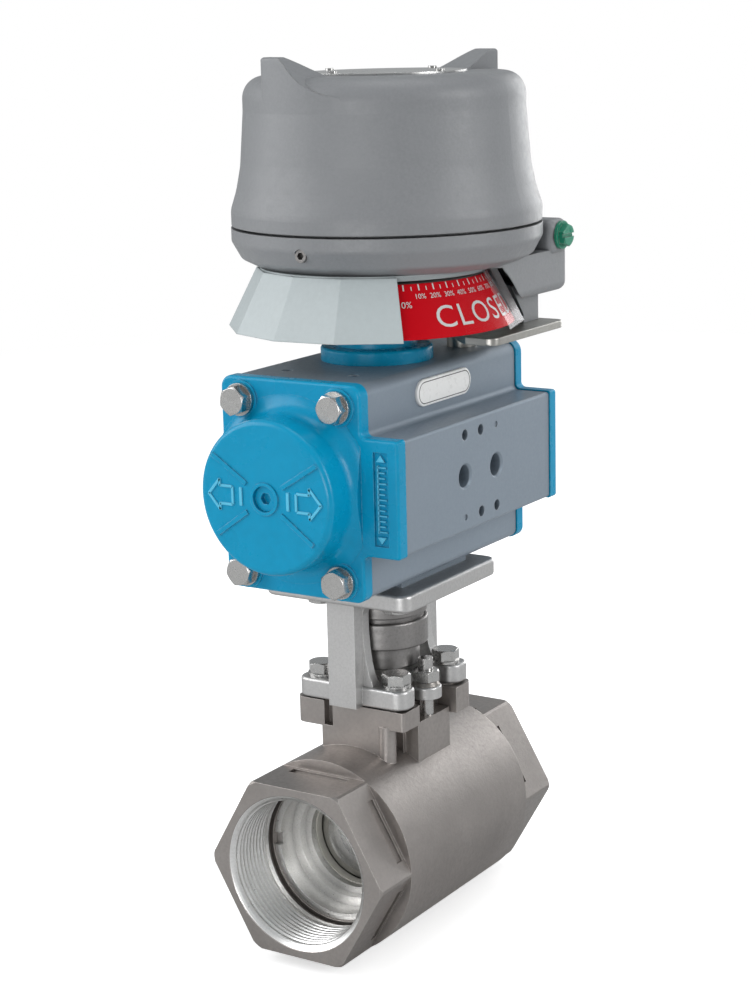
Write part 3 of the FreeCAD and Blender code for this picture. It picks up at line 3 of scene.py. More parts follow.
import bmesh
import bpy
from mathutils import Matrix, Vector


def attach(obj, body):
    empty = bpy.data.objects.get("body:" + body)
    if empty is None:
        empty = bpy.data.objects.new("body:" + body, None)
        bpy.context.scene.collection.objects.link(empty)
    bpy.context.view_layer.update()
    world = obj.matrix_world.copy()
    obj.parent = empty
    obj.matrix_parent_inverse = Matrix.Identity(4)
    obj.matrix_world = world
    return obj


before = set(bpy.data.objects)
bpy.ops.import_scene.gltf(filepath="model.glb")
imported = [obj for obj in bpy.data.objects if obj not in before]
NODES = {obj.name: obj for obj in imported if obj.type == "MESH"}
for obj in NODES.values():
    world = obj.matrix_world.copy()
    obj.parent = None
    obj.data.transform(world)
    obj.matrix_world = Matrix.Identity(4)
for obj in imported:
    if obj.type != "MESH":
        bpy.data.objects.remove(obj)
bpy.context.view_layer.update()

MM = 0.001
# heights and faces of the CAD model, in mm
PIPE_LEVEL = 39.5
CYLINDER_LEVEL = 190.2
BADGE_LEVEL = 222
BADGE_FACE = 31.87
BULGE_FACE = 78.5
SLOT_FLOOR = 59.9
BOARD_TOP = 277.6
BACKDROP = 1.0


# ---------------------------------------------------------------- materials

class Surface:
    """A material built node by node. Positions are those of the object, in metres."""

    def __init__(self, name):
        self.mat = bpy.data.materials.new(name)
        self.mat.use_nodes = True
        self.tree = self.mat.node_tree
        self.shader = self.tree.nodes["Principled BSDF"]
        self.place = self.node("ShaderNodeTexCoord").outputs["Object"]

    def node(self, kind, **settings):
        made = self.tree.nodes.new(kind)
        for key, value in settings.items():
            setattr(made, key, value)
        return made

    def link(self, source, socket):
        self.tree.links.new(source, socket)

    def set(self, **values):
        for key, value in values.items():
            self.shader.inputs[key.replace("_", " ")].default_value = value

    def stretched(self, x, y, z):
        """The object's position, scaled along each axis."""
        mapping = self.node("ShaderNodeMapping")
        mapping.inputs["Scale"].default_value = (x, y, z)
        self.link(self.place, mapping.inputs["Vector"])
        return mapping.outputs["Vector"]

    def noise(self, scale, detail=4.0, rough=0.55, place=None):
        made = self.node("ShaderNodeTexNoise")
        made.inputs["Scale"].default_value = scale
        made.inputs["Detail"].default_value = detail
        made.inputs["Roughness"].default_value = rough
        self.link(place or self.place, made.inputs["Vector"])
        return made.outputs["Fac"]

    def ramp(self, value, *stops):
        """Colours for a value; each stop is (position, colour)."""
        made = self.node("ShaderNodeValToRGB")
        elements = made.color_ramp.elements
        while len(elements) < len(stops):
            elements.new(0.5)
        for element, (position, colour) in zip(elements, stops):
            element.position = position
            element.color = (*colour, 1.0)
        self.link(value, made.inputs["Fac"])
        return made.outputs["Color"]

    def spread(self, value, low, high, start=0.0, end=1.0):
        made = self.node("ShaderNodeMapRange")
        for key, number in (("From Min", start), ("From Max", end), ("To Min", low), ("To Max", high)):
            made.inputs[key].default_value = number
        self.link(value, made.inputs["Value"])
        return made.outputs["Result"]

    def maths(self, kind, first, second=None):
        made = self.node("ShaderNodeMath", operation=kind)
        for socket, value in zip(made.inputs, (first, second)):
            if value is None:
                continue
            if isinstance(value, (int, float)):
                socket.default_value = value
            else:
                self.link(value, socket)
        return made.outputs["Value"]

    def mixed(self, factor, first, second, kind="MIX"):
        made = self.node("ShaderNodeMix", data_type="RGBA", blend_type=kind)
        self.link(factor, made.inputs[0])
        for socket, value in ((made.inputs[6], first), (made.inputs[7], second)):
            if isinstance(value, tuple):
                socket.default_value = (*value, 1.0)
            else:
                self.link(value, socket)
        return made.outputs[2]

    def edges(self, radius):
        """1 on outer and inner edges narrower than the radius, 0 on open faces."""
        bevel = self.node("ShaderNodeBevel", samples=6)
        bevel.inputs["Radius"].default_value = radius
        geometry = self.node("ShaderNodeNewGeometry")
        dot = self.node("ShaderNodeVectorMath", operation="DOT_PRODUCT")
        self.link(bevel.outputs["Normal"], dot.inputs[0])
        self.link(geometry.outputs["Normal"], dot.inputs[1])
        return self.spread(dot.outputs["Value"], 1.0, 0.0, 0.86, 0.995)

    def crevice(self, distance):
        """Ambient occlusion: near 0 in corners and gaps, 1 in the open; it drives painted shade."""
        shade = self.node("ShaderNodeAmbientOcclusion", samples=6)
        shade.inputs["Distance"].default_value = distance
        return shade.outputs["AO"]

    def relief(self, *layers, soften=0.0003):
        """Bump layers of (height, strength, depth in metres) over slightly rounded edges."""
        bevel = self.node("ShaderNodeBevel", samples=4)
        bevel.inputs["Radius"].default_value = soften
        normal = bevel.outputs["Normal"]
        for height, strength, depth in layers:
            bump = self.node("ShaderNodeBump")
            bump.inputs["Strength"].default_value = strength
            bump.inputs["Distance"].default_value = depth
            self.link(height, bump.inputs["Height"])
            self.link(normal, bump.inputs["Normal"])
            normal = bump.outputs["Normal"]
        self.link(normal, self.shader.inputs["Normal"])


def shade(colour, factor):
    return tuple(min(1.0, c * factor) for c in colour)


def coated(name, colour, rough, grain, depth, coat=0.0, gloss=0.4, spread=0.07, edge_wear_and_highlight=None, metallic=0.0,
           soften=0.0004, crevice_shade=0.45):
    """Paint, powder coat or moulded plastic: mottling, orange peel, painted crevice shade, rubbed edges with
    painted highlight.
    """
    s = Surface(name)
    broad = s.noise(22, 3.0)
    tone = s.ramp(broad, (0.3, shade(colour, 1 - spread)), (0.7, shade(colour, 1 + spread)))
    fine = s.noise(grain, 5.0, 0.6)
    tone = s.mixed(s.spread(fine, 0.0, 1.0, 0.35, 0.75), tone, shade(colour, 1 + 1.6 * spread))
    # painted shade: the colour darkens in corners and gaps where ambient occlusion is low
    crevice_shade_mask = s.spread(s.crevice(0.004), 1.0, 0.0, 0.25, 0.85)
    tone = s.mixed(s.maths("MULTIPLY", crevice_shade_mask, crevice_shade), tone, shade(colour, 0.35))
    roughness = s.spread(s.noise(grain * 0.4, 4.0), rough - 0.06, rough + 0.08, 0.3, 0.7)
    # lighter edges: partly rubbed wear, partly a painted highlight on ribs and rims
    if edge_wear_and_highlight:
        rubbed_and_highlit = s.maths("MULTIPLY", s.edges(0.0006), s.spread(s.noise(310, 4.0, 0.7), 0.0, 1.0, 0.42, 0.62))
        tone = s.mixed(s.maths("MULTIPLY", rubbed_and_highlit, 0.55), tone, edge_wear_and_highlight)
    s.link(tone, s.shader.inputs["Base Color"])
    s.link(roughness, s.shader.inputs["Roughness"])
    s.set(Metallic=metallic, Coat_Weight=coat, Coat_Roughness=0.12, Specular_IOR_Level=gloss)
    s.relief((fine, 0.5, depth), (broad, 0.15, depth * 3), soften=soften)
    return s.mat


def bare_metal(name, colour, rough, grain, depth, spread=0.10, stretch=None, edge_wear_and_highlight=1.25):
    """Bare metal: cast when grainy, machined when stretched along the cut."""
    s = Surface(name)
    place = s.stretched(*stretch) if stretch else s.place
    broad = s.noise(30, 4.0, 0.6)
    tone = s.ramp(broad, (0.25, shade(colour, 1 - spread)), (0.75, shade(colour, 1 + spread)))
    fine = s.noise(grain, 6.0, 0.65, place)
    tone = s.mixed(s.spread(fine, 0.0, 0.5, 0.4, 0.8), tone, shade(colour, 0.72))
    # painted shade: the metal darkens in corners and gaps where ambient occlusion is low
    crevice_shade_mask = s.spread(s.crevice(0.005), 1.0, 0.0, 0.2, 0.9)
    tone = s.mixed(s.maths("MULTIPLY", crevice_shade_mask, 0.45), tone, shade(colour, 0.30))
    # lighter edges: partly worn metal, partly a painted highlight
    bright = s.maths("MULTIPLY", s.edges(0.0005), s.spread(s.noise(420, 3.0), 0.2, 1.0, 0.35, 0.6))
    tone = s.mixed(s.maths("MULTIPLY", bright, 0.7), tone, shade(colour, edge_wear_and_highlight))
    s.link(tone, s.shader.inputs["Base Color"])
    s.link(s.spread(fine, rough - 0.08, rough + 0.12, 0.3, 0.75), s.shader.inputs["Roughness"])
    s.set(Metallic=1.0)
    s.relief((fine, 0.6, depth), (broad, 0.2, depth * 2))
    return s.mat


def turned_metal(name, colour, rough, centre, along, pitch=0.0009, depth=0.00002):
    """Machined metal with fine rings about an axis, and lengthwise lines on flat faces."""
    s = Surface(name)
    shift = s.node("ShaderNodeMapping")
    shift.inputs["Location"].default_value = tuple(-c for c in centre)
    scale = [1.0, 1.0, 1.0]
    scale[along] = 0.35
    shift.inputs["Scale"].default_value = scale
    s.link(s.place, shift.inputs["Vector"])
    length = s.node("ShaderNodeVectorMath", operation="LENGTH")
    s.link(shift.outputs["Vector"], length.inputs[0])
    rings = s.maths("SINE", s.maths("MULTIPLY", length.outputs["Value"], 2 * math.pi / pitch))
    broad = s.noise(40, 3.0)
    tone = s.ramp(broad, (0.3, shade(colour, 0.9)), (0.7, shade(colour, 1.08)))
    scratch = s.noise(900, 3.0, 0.7)
    tone = s.mixed(s.spread(scratch, 0.0, 0.5, 0.45, 0.75), tone, shade(colour, 0.7))
    # painted shade: the metal darkens in corners and gaps where ambient occlusion is low
    crevice_shade_mask = s.spread(s.crevice(0.004), 1.0, 0.0, 0.2, 0.9)
    tone = s.mixed(s.maths("MULTIPLY", crevice_shade_mask, 0.5), tone, shade(colour, 0.25))
    s.link(tone, s.shader.inputs["Base Color"])
    s.link(s.spread(scratch, rough - 0.05, rough + 0.12, 0.3, 0.7), s.shader.inputs["Roughness"])
    s.set(Metallic=1.0)
    s.relief((rings, 0.35, depth), (scratch, 0.25, depth), soften=0.0003)
    return s.mat


def soft_plastic(name, colour, rough, grain=700, depth=0.00002, spread=0.06):
    return coated(name, colour, rough, grain, depth, spread=spread, soften=0.0003)


def clear_pane(name):
    """Clear plastic: it passes light from the front, and turns milky and mirroring seen flat."""
    s = Surface(name)
    haze = s.noise(60, 3.0)
    s.link(s.ramp(haze, (0.3, (0.86, 0.85, 0.87)), (0.7, (0.94, 0.93, 0.95))), s.shader.inputs["Base Color"])
    s.link(s.spread(s.noise(500, 4.0), 0.10, 0.20, 0.3, 0.7), s.shader.inputs["Roughness"])
    s.set(Metallic=0.35)
    s.relief((haze, 0.05, 0.0002), soften=0.0004)
    clear = s.node("ShaderNodeBsdfTransparent")
    clear.inputs["Color"].default_value = (0.98, 0.98, 0.98, 1.0)
    facing = s.node("ShaderNodeLayerWeight")
    facing.inputs["Blend"].default_value = 0.5
    flat_view = s.maths("MULTIPLY", s.maths("POWER", facing.outputs["Facing"], 5.0), 0.95)
    geometry = s.node("ShaderNodeNewGeometry")
    outer_face = s.maths("SUBTRACT", 1.0, geometry.outputs["Backfacing"])
    blend = s.node("ShaderNodeMixShader")
    s.link(s.maths("MULTIPLY", flat_view, outer_face), blend.inputs[0])
    s.link(clear.outputs[0], blend.inputs[1])
    s.link(s.shader.outputs[0], blend.inputs[2])
    s.link(blend.outputs[0], s.tree.nodes["Material Output"].inputs["Surface"])
    return s.mat


STAINLESS = (0.42, 0.39, 0.372)
LIGHT_STEEL = (0.63, 0.625, 0.62)
BRIGHT = (0.58, 0.575, 0.565)
BLUE = (0.0, 0.28, 0.49)
PALE_GREY = (0.45, 0.50, 0.51)

cast_body = bare_metal("cast_stainless", STAINLESS, 0.40, 620, 0.00013, spread=0.14, edge_wear_and_highlight=1.4)
bright_cast = bare_metal("bright_casting", LIGHT_STEEL, 0.42, 900, 0.00006, spread=0.07, edge_wear_and_highlight=1.3)
fastener = bare_metal("fastener_steel", BRIGHT, 0.24, 800, 0.00002, spread=0.06, edge_wear_and_highlight=1.2)
# the blue coat's light-blue edge colour is a painted highlight on its ribs and rims
blue_coat = coated("blue_coat", BLUE, 0.28, 240, 0.00004, coat=0.12, gloss=0.22, spread=0.05, soften=0.0005,
                   edge_wear_and_highlight=(0.20, 0.52, 0.72), crevice_shade=0.2)
# the raised marks are the cap's own blue paint; their lighter blue is a painted highlight
highlit_blue = coated("highlit_blue", (0.10, 0.50, 0.72), 0.34, 240, 0.00002, gloss=0.3, spread=0.05, crevice_shade=0.1)
anodised = coated("grey_anodised", (0.255, 0.305, 0.36), 0.42, 1500, 0.00002, spread=0.035,
                  metallic=0.35, soften=0.0005, edge_wear_and_highlight=(0.45, 0.46, 0.47))
enclosure = coated("enclosure_grey", (0.225, 0.232, 0.242), 0.42, 900, 0.00010, spread=0.05,
                   soften=0.0006, edge_wear_and_highlight=(0.38, 0.38, 0.37))

FINISHES = {
    cast_body: ("valve_body",),
    bright_cast: ("mounting_bracket", "gland_plate"),
    turned_metal("turned_ring", (0.90, 0.89, 0.87), 0.30, (0, 0, 0.0395), 1): ("body_insert",),
    turned_metal("turned_spindle", (0.58, 0.57, 0.55), 0.28, (0, 0, 0.1), 2): (
        "stem", "indicator_shaft", "coupler_pin", "gland_follower"),
    turned_metal("polished_ball", (0.70, 0.70, 0.69), 0.10, (0, 0, 0.0395), 0, 0.0006, 0.000004): ("ball",),
    soft_plastic("seat_plastic", (0.72, 0.70, 0.64), 0.42): ("ball_seats", "stem_packing",
                                                             "stem_thrust_washer"),
    soft_plastic("seal_rubber", (0.018, 0.018, 0.018), 0.62): (
        "insert_o_ring", "end_cap_gaskets", "pinion_seals", "monitor_o_ring", "piston_o_ring_front",
        "piston_o_ring_rear"),
    fastener: ("gland_studs", "gland_nuts", "bracket_foot_bolts", "base_bolts", "bracket_washers",
               "end_cap_washers", "end_cap_bolts", "monitor_bracket_screws", "monitor_foot_screws",
               "board_screws", "nameplate_screws"),
    bare_metal("spring_steel", (0.34, 0.32, 0.30), 0.38, 700, 0.00003): ("gland_springs", "pinion_circlip"),
    turned_metal("dark_steel", (0.30, 0.29, 0.285), 0.40, (0, 0, 0.12), 2, 0.0012, 0.00003): (
        "coupler", "set_screw"),
    turned_metal("gear_steel", (0.48, 0.48, 0.47), 0.34, (0, 0, 0.19), 2): ("pinion",),
    anodised: ("actuator_body",),
    blue_coat: ("end_cap_front", "end_cap_rear", "top_collar", "travel_stops"),
    soft_plastic("bearing_plastic", (0.70, 0.66, 0.56), 0.45): ("pinion_bearings", "shaft_bushing"),
    bare_metal("piston_alloy", (0.66, 0.66, 0.67), 0.34, 500, 0.00003, stretch=(1, 4, 1)): (
        "piston_front", "piston_rear"),
    coated("badge_white", (0.86, 0.86, 0.85), 0.30, 900, 0.00001, coat=0.3, spread=0.03): ("name_badge",),
    coated("shroud_grey", PALE_GREY, 0.38, 500, 0.00003, spread=0.04, soften=0.0006): ("indicator_shroud",),
    clear_pane("clear_window"): ("indicator_windows",),
    soft_plastic("rotor_plastic", (0.55, 0.58, 0.56), 0.40): ("indicator_rotor",),
    coated("red_panel", (0.80, 0.002, 0.012), 0.45, 300, 0.00001, gloss=0.08, spread=0.04): (
        "closed_panels",),
    coated("green_panel", (0.01, 0.34, 0.08), 0.40, 300, 0.00001, coat=0.1, gloss=0.2, spread=0.04): (
        "open_panels",),
    bare_metal("sheet_stainless", (0.50, 0.49, 0.46), 0.36, 420, 0.00002, stretch=(0.12, 1, 1)): (
        "monitor_bracket", "bracket_spacers"),
    enclosure: ("monitor_base", "cover"),
    soft_plastic("plug_plastic", (0.03, 0.03, 0.03), 0.5): ("conduit_plug",),
    coated("green_screw", (0.01, 0.22, 0.13), 0.32, 600, 0.00002, coat=0.2, edge_wear_and_highlight=(0.5, 0.5, 0.45)): (
        "ground_screw",),
    soft_plastic("board_green", (0.015, 0.13, 0.05), 0.35, 1200): ("circuit_board",),
    soft_plastic("module_black", (0.015, 0.015, 0.016), 0.33): ("sensor_module",),
    soft_plastic("terminal_grey", (0.36, 0.40, 0.38), 0.45): ("terminal_block",),
    soft_plastic("target_plastic", (0.62, 0.30, 0.03), 0.4): ("position_target",),
    bare_metal("plate_silver", (0.70, 0.70, 0.69), 0.30, 700, 0.00001, stretch=(0.06, 1, 1)): ("nameplate",),
}
for finish, names in FINISHES.items():
    for name in names:
        NODES[name].data.materials.clear()
        NODES[name].data.materials.append(finish)

lettering = coated("white_marks", (0.92, 0.92, 0.91), 0.35, 700, 0.00001, spread=0.03)
rim_ink = coated("rim_ink", (0.03, 0.03, 0.035), 0.35, 700, 0.00001, spread=0.03)
thread_metal = turned_metal("thread_metal", (0.95, 0.94, 0.92), 0.32, (0, 0, 0.0395), 1)




# ---------------------------------------------------------------- detail pieces

def piece(name, verts, faces, material, body, smooth=False):
    mesh = bpy.data.meshes.new(name)
    mesh.from_pydata([tuple(v) for v in verts], [], faces)
    mesh.validate()
    obj = bpy.data.objects.new(name, mesh)
    bpy.context.scene.collection.objects.link(obj)
    clean = bmesh.new()
    clean.from_mesh(mesh)
    bmesh.ops.recalc_face_normals(clean, faces=clean.faces)
    clean.to_mesh(mesh)
    clean.free()
    if smooth:
        mesh.shade_smooth()
    mesh.materials.append(material)
    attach(obj, body)
    return obj


def mesh_piece(name, bm, material, body):
    """A detail built in bm, which is used up; it rides on a body."""
    mesh = bpy.data.meshes.new(name)
    bm.to_mesh(mesh)
    bm.free()
    mesh.materials.append(material)
    obj = bpy.data.objects.new(name, mesh)
    bpy.context.scene.collection.objects.link(obj)
    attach(obj, body)


def thread(name, facing):
    """The machined wall of a mouth: chamfer, pipe thread, plain wall; facing is -1 in front."""
    pitch, steps, around = 2.21, 8, 144
    start, ridged, length = 65.7, 21.0, 22.8
    rows, last = (int(run / pitch * steps) for run in (length, ridged))
    profile = [0.0, 0.30, 0.75, 0.98, 1.0, 0.98, 0.75, 0.30]
    verts, faces = [], []
    for row in range(-1, rows + 1):
        for step in range(around):
            angle = 2 * math.pi * step / around
            phase = (row / steps - step / around) % 1.0
            at = phase * steps
            low, share = int(at) % steps, at - int(at)
            rise = profile[low] * (1 - share) + profile[(low + 1) % steps] * share
            fade = max(0.0, min(1.0, (last - row) / steps, row / steps + 0.3))
            radius, y = 29.74 - 1.0 * rise * fade, facing * (start - row * pitch / steps)
            if row < 0:
                radius, y = 31.36, facing * 67.0
            verts.append(((radius * math.cos(angle)) * MM, y * MM,
                          (PIPE_LEVEL + radius * math.sin(angle)) * MM))
    for row in range(rows + 1):
        for step in range(around):
            a, b = row * around + step, row * around + (step + 1) % around
            faces.append((a, b, b + around, a + around))
    return piece(name, verts, faces, thread_metal, "housing", smooth=True)


thread("thread_front", -1)
thread("thread_rear", 1)


def cone_point(azimuth, height, proud):
    """A point on the indicator's panels; azimuth in degrees, height and proud in mm."""
    share = (height - 245.3) / 19.3
    radius = 53.8 - 10.6 * share + proud
    angle = math.radians(azimuth)
    return Vector((radius * math.cos(angle), radius * math.sin(angle), height)) * MM


def flat_bar(bm, azimuth, height, wide, tall, proud=0.18):
    """A small upright mark on the cone."""
    half = math.degrees(0.5 * wide / 48)
    corners = [(azimuth - half, height), (azimuth + half, height), (azimuth + half, height + tall),
               (azimuth - half, height + tall)]
    bm.faces.new([bm.verts.new(cone_point(a, h, proud)) for a, h in corners])


def cone_text(bm, words, azimuth, height, size, align="CENTER", gap=1.0, proud=0.18):
    """Letters wrapped round the cone about an azimuth, reading from outside."""
    curve = bpy.data.curves.new("letters", "FONT")
    curve.body = words
    curve.size = size
    curve.align_x = align
    curve.space_character = gap
    curve.resolution_u = 4
    holder = bpy.data.objects.new("letters", curve)
    bpy.context.scene.collection.objects.link(holder)
    bpy.context.view_layer.update()
    mesh = bpy.data.meshes.new_from_object(holder)
    bpy.data.objects.remove(holder)
    cut = bmesh.new()
    cut.from_mesh(mesh)
    bmesh.ops.subdivide_edges(cut, edges=[e for e in cut.edges if e.calc_length() > 1.5], cuts=2)
    made = {}
    for vert in cut.verts:
        turn = azimuth + math.degrees(vert.co.x / 48)
        made[vert] = bm.verts.new(cone_point(turn, height + vert.co.y * 0.87, proud))
    for face in cut.faces:
        bm.faces.new([made[v] for v in face.verts])
    cut.free()
    bpy.data.meshes.remove(mesh)


def dial_marks(name, words, start):
    """A word under a scale of per-cent marks, on both panels of one colour; start is in degrees."""
    bm = bmesh.new()
    for turn in (start, start + 180):
        cone_text(bm, words, turn + 17.5, 248.9, 12.6, "LEFT", 1.12)
        for mark in range(21):
            major = mark % 2 == 0
            flat_bar(bm, turn + 5 + mark * 3.9, 262.3, 0.6 if major else 0.4, 2.2 if major else 1.4)
        for mark in range(1, 11):
            cone_text(bm, f"{mark * 10}%", turn + 5 + mark * 7.8, 259.4, 2.9)
        cone_text(bm, "0%", turn + 5.5, 256.4, 3.6)
    mesh_piece(name, bm, lettering, "drive_train")


dial_marks("closed_marks", "CLOSED", -49)
dial_marks("open_marks", "OPEN", -139)


def raised(name, outlines, side, height):
    """Flat raised marks on an end cap; outlines are (X, Z) in mm about the cap's centre."""
    bm = bmesh.new()
    base, top = side * (BULGE_FACE - 0.1) * MM, side * (BULGE_FACE + height) * MM
    for outline in outlines:
        low = [bm.verts.new((x * MM, base, (CYLINDER_LEVEL + z) * MM)) for x, z in outline]
        inset = Vector((sum(x for x, _ in outline), sum(z for _, z in outline))) / len(outline)
        high = []
        for x, z in outline:
            pull = (inset - Vector((x, z))).normalized() * 0.25
            high.append(bm.verts.new(((x + pull.x) * MM, top, (CYLINDER_LEVEL + z + pull.y) * MM)))
        bm.faces.new(high)
        for n in range(len(low)):
            m = (n + 1) % len(low)
            bm.faces.new((low[n], low[m], high[m], high[n]))
    bmesh.ops.recalc_face_normals(bm, faces=bm.faces)
    # the marks take the lighter blue, a painted highlight
    mesh_piece(name, bm, highlit_blue, "housing")


def bar(x0, z0, x1, z1, wide):
    """The outline of a straight bar between two points."""
    along = (Vector((x1, z1)) - Vector((x0, z0))).normalized()
    across = Vector((-along.y, along.x)) * wide / 2
    return [(x0 + across.x, z0 + across.y), (x1 + across.x, z1 + across.y),
            (x1 - across.x, z1 - across.y), (x0 - across.x, z0 - across.y)]


def cap_marks():
    """Two arrows with a short bar behind each, pointing away from the cap's centre."""
    marks = []
    for s in (-1, 1):
        marks.append(bar(s * 10.5, -3.6, s * 10.5, 3.6, 1.3))
        marks.append(bar(s * 14.2, -3.4, s * 20.2, -3.4, 1.1))
        marks.append(bar(s * 14.2, 3.4, s * 20.2, 3.4, 1.1))
        marks.append(bar(s * 14.2, -3.4, s * 14.2, 3.4, 1.1))
        marks.append(bar(s * 20.0, -6.0, s * 20.0, -3.0, 1.1))
        marks.append(bar(s * 20.0, 3.0, s * 20.0, 6.0, 1.1))
        marks.append(bar(s * 19.8, -6.0, s * 25.2, 0.2, 1.1))
        marks.append(bar(s * 19.8, 6.0, s * 25.2, -0.2, 1.1))
    return marks


raised("cap_marks_front", cap_marks(), -1, 0.5)
raised("cap_marks_rear", cap_marks(), 1, 0.5)


def slot_scale(name, side):
    """A raised scale and two arrowheads in the slot beside an end cap's bulge."""
    bm = bmesh.new()

    def prism(outline):
        floor, top = side * SLOT_FLOOR * MM, side * (SLOT_FLOOR + 1) * MM
        low = [bm.verts.new((x * MM, floor, (CYLINDER_LEVEL + z) * MM)) for x, z in outline]
        high = [bm.verts.new((x * MM, top, (CYLINDER_LEVEL + z) * MM)) for x, z in outline]
        bm.faces.new(high)
        for n in range(len(low)):
            m = (n + 1) % len(low)
            bm.faces.new((low[n], low[m], high[m], high[n]))

    prism(bar(38.0, -12.6, 38.0, 12.6, 0.6))
    for mark in range(13):
        z = -12 + 2 * mark
        prism(bar(38.0, z, 41.0 if mark % 3 else 41.7, z, 0.5))
    for s in (-1, 1):
        prism([(37.4, s * 14.0), (41.2, s * 14.0), (39.3, s * 16.6)])
    bmesh.ops.recalc_face_normals(bm, faces=bm.faces)
    # the scale takes the lighter blue, a painted highlight
    mesh_piece(name, bm, highlit_blue, "housing")


slot_scale("slot_scale_front", -1)
slot_scale("slot_scale_rear", 1)


def badge_line(name):
    """A thin dark line just inside the badge's edge."""
    ends, bow = (-16.8, 12.8), 24
    bm = bmesh.new()
    rings = []
    for radius in (4.25, 3.9):
        ring = []
        for centre, first in zip(reversed(ends), (-90, 90)):
            for step in range(bow + 1):
                angle = math.radians(first + 180 * step / bow)
                ring.append(bm.verts.new((BADGE_FACE * MM, (centre + radius * math.cos(angle)) * MM,
                                          (BADGE_LEVEL + radius * math.sin(angle)) * MM)))
        rings.append(ring)
    count = len(rings[0])
    for n in range(count):
        m = (n + 1) % count
        bm.faces.new((rings[0][n], rings[0][m], rings[1][m], rings[1][n]))
    mesh_piece(name, bm, rim_ink, "housing")


badge_line("badge_line")


def board_part(name, place, size, material, sides=4):
    """A component on the circuit board: a block, or a can when it has many sides."""
    bm = bmesh.new()
    radius = 0.5 / math.cos(math.pi / sides)
    shape = Matrix.Diagonal((*size, 1.0)) @ Matrix.Rotation(math.pi / 4, 4, "Z")
    bmesh.ops.create_cone(bm, cap_ends=True, segments=sides, radius1=radius, radius2=radius, depth=1,
                          matrix=shape)
    bmesh.ops.bevel(bm, geom=bm.edges[:], offset=0.25, segments=2, affect="EDGES")
    centre = Vector((*place, BOARD_TOP + size[2] / 2))
    verts = [(vert.co + centre) * MM for vert in bm.verts]
    faces = [[vert.index for vert in face.verts] for face in bm.faces]
    bm.free()
    piece(name, verts, faces, material, "housing")


dark_part = soft_plastic("component_black", (0.02, 0.02, 0.022), 0.35)
tin_part = bare_metal("component_tin", (0.62, 0.62, 0.61), 0.3, 900, 0.00001)
pale_part = soft_plastic("component_pale", (0.62, 0.60, 0.52), 0.45)
board_part("board_chip", (0, -27), (16, 7, 2), dark_part)
board_part("board_driver", (17, -25), (6, 5, 1.6), dark_part)
board_part("board_coil", (-17, -25), (10, 9, 6), dark_part)
board_part("board_can_left", (-21, -10), (8, 8, 10), tin_part, 32)
board_part("board_can_right", (22, -12), (8, 8, 10), tin_part, 32)
board_part("board_socket", (31, 4), (7, 14, 7), pale_part)
for n in range(5):
    board_part(f"board_resistor_{n}", (-8 + 4 * n, -20), (1.6, 3, 0.7), pale_part)


# ---------------------------------------------------------------- stage, light and camera

def stage_object(name, verts, faces, material):
    mesh = bpy.data.meshes.new(name)
    mesh.from_pydata(verts, [], faces)
    mesh.shade_smooth()
    mesh.materials.append(material)
    obj = bpy.data.objects.new(name, mesh)
    bpy.context.scene.collection.objects.link(obj)
    return obj


pale = Surface("pale_floor")
pale.link(pale.ramp(pale.noise(3, 2.0), (0.2, (0.90, 0.90, 0.90)), (0.8, (0.94, 0.94, 0.94))),
          pale.shader.inputs["Base Color"])
pale.set(Roughness=0.7, Specular_IOR_Level=0.2, Emission_Color=(1.0, 1.0, 1.0, 1.0), Emission_Strength=0.55)
dull = pale.node("ShaderNodeBsdfDiffuse")
dull.inputs["Color"].default_value = (0.55, 0.55, 0.55, 1.0)
sight = pale.node("ShaderNodeLightPath")
distance = pale.node("ShaderNodeVectorMath", operation="LENGTH")
pale.link(pale.place, distance.inputs[0])
plain = pale.node("ShaderNodeEmission")
plain.inputs["Strength"].default_value = BACKDROP
faded = pale.node("ShaderNodeMixShader")
pale.link(pale.spread(distance.outputs["Value"], 0.0, 1.0, 0.45, 1.6), faded.inputs[0])
pale.link(pale.shader.outputs[0], faded.inputs[1])
pale.link(plain.outputs[0], faded.inputs[2])
seen = pale.node("ShaderNodeMixShader")
pale.link(sight.outputs["Is Camera Ray"], seen.inputs[0])
pale.link(dull.outputs[0], seen.inputs[1])
pale.link(faded.outputs[0], seen.inputs[2])
pale.link(seen.outputs[0], pale.tree.nodes["Material Output"].inputs["Surface"])
stage_object("floor", [(-8, -8, 0), (8, -8, 0), (8, 8, 0), (-8, 8, 0)], [(0, 1, 2, 3)], pale.mat)

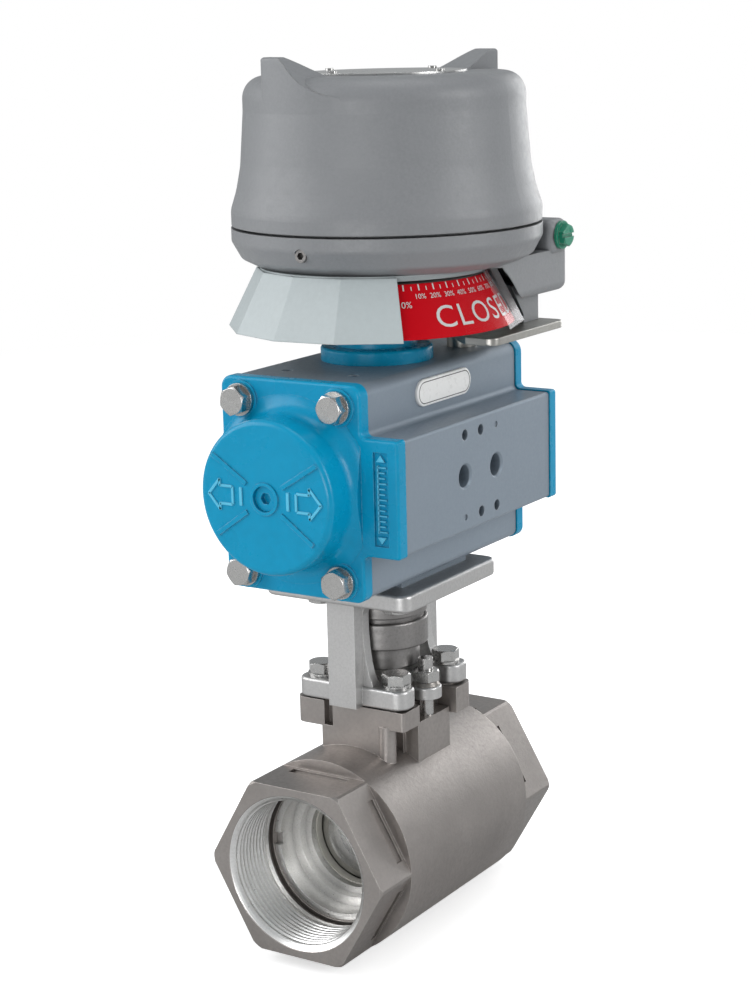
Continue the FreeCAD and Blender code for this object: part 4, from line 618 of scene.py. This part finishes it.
# a white backdrop to look at, and a softer grey light from all round
world = bpy.data.worlds.new("studio")
bpy.context.scene.world = world
world.use_nodes = True
nodes, links = world.node_tree.nodes, world.node_tree.links
around = nodes["Background"]
around.inputs["Color"].default_value = (0.95, 0.98, 1.0, 1.0)
around.inputs["Strength"].default_value = 0.38
backdrop = nodes.new("ShaderNodeBackground")
backdrop.inputs["Color"].default_value = (1.0, 1.0, 1.0, 1.0)
backdrop.inputs["Strength"].default_value = BACKDROP
ray = nodes.new("ShaderNodeLightPath")
choose = nodes.new("ShaderNodeMixShader")
links.new(ray.outputs["Is Camera Ray"], choose.inputs[0])
links.new(around.outputs[0], choose.inputs[1])
links.new(backdrop.outputs[0], choose.inputs[2])
links.new(choose.outputs[0], nodes["World Output"].inputs["Surface"])


def area_light(name, place, aim, wide, tall, power):
    light = bpy.data.lights.new(name, "AREA")
    light.shape = "RECTANGLE"
    light.size, light.size_y = wide, tall
    light.energy = power
    obj = bpy.data.objects.new(name, light)
    obj.location = place
    obj.rotation_euler = (Vector(aim) - Vector(place)).to_track_quat("-Z", "Y").to_euler()
    bpy.context.scene.collection.objects.link(obj)
    return obj


CENTRE = (0, 0, 0.18)
area_light("key", (-1.25, -0.85, 0.85), CENTRE, 1.5, 1.3, 18)
area_light("front", (0.25, -1.5, 0.16), (0, 0, 0.08), 0.8, 0.25, 6)
area_light("fill", (1.30, 0.15, 0.65), CENTRE, 0.6, 0.8, 8)
area_light("top", (0.1, 0.1, 1.5), CENTRE, 0.8, 0.8, 4)
area_light("back", (0.12, 1.6, 0.42), CENTRE, 1.0, 1.0, 10)

camera_data = bpy.data.cameras.new("camera")
camera_data.sensor_width = 36
camera_data.lens = 78.17
camera_data.clip_start = 0.05
camera = bpy.data.objects.new("camera", camera_data)
bpy.context.scene.collection.objects.link(camera)
azimuth, elevation, roll = (math.radians(a) for a in (32.726, 12.861, -1.375))
back = Vector((math.sin(azimuth) * math.cos(elevation), -math.cos(azimuth) * math.cos(elevation),
               math.sin(elevation)))
level_right = Vector((math.cos(azimuth), math.sin(azimuth), 0))
level_up = back.cross(level_right)
right = level_right * math.cos(roll) + level_up * math.sin(roll)
up = -level_right * math.sin(roll) + level_up * math.cos(roll)
camera.matrix_world = Matrix((
    (right.x, up.x, back.x, 0.45327), (right.y, up.y, back.y, -0.70751),
    (right.z, up.z, back.z, 0.36565), (0, 0, 0, 1)))
bpy.context.scene.camera = camera
bpy.context.scene.view_settings.view_transform = "Standard"
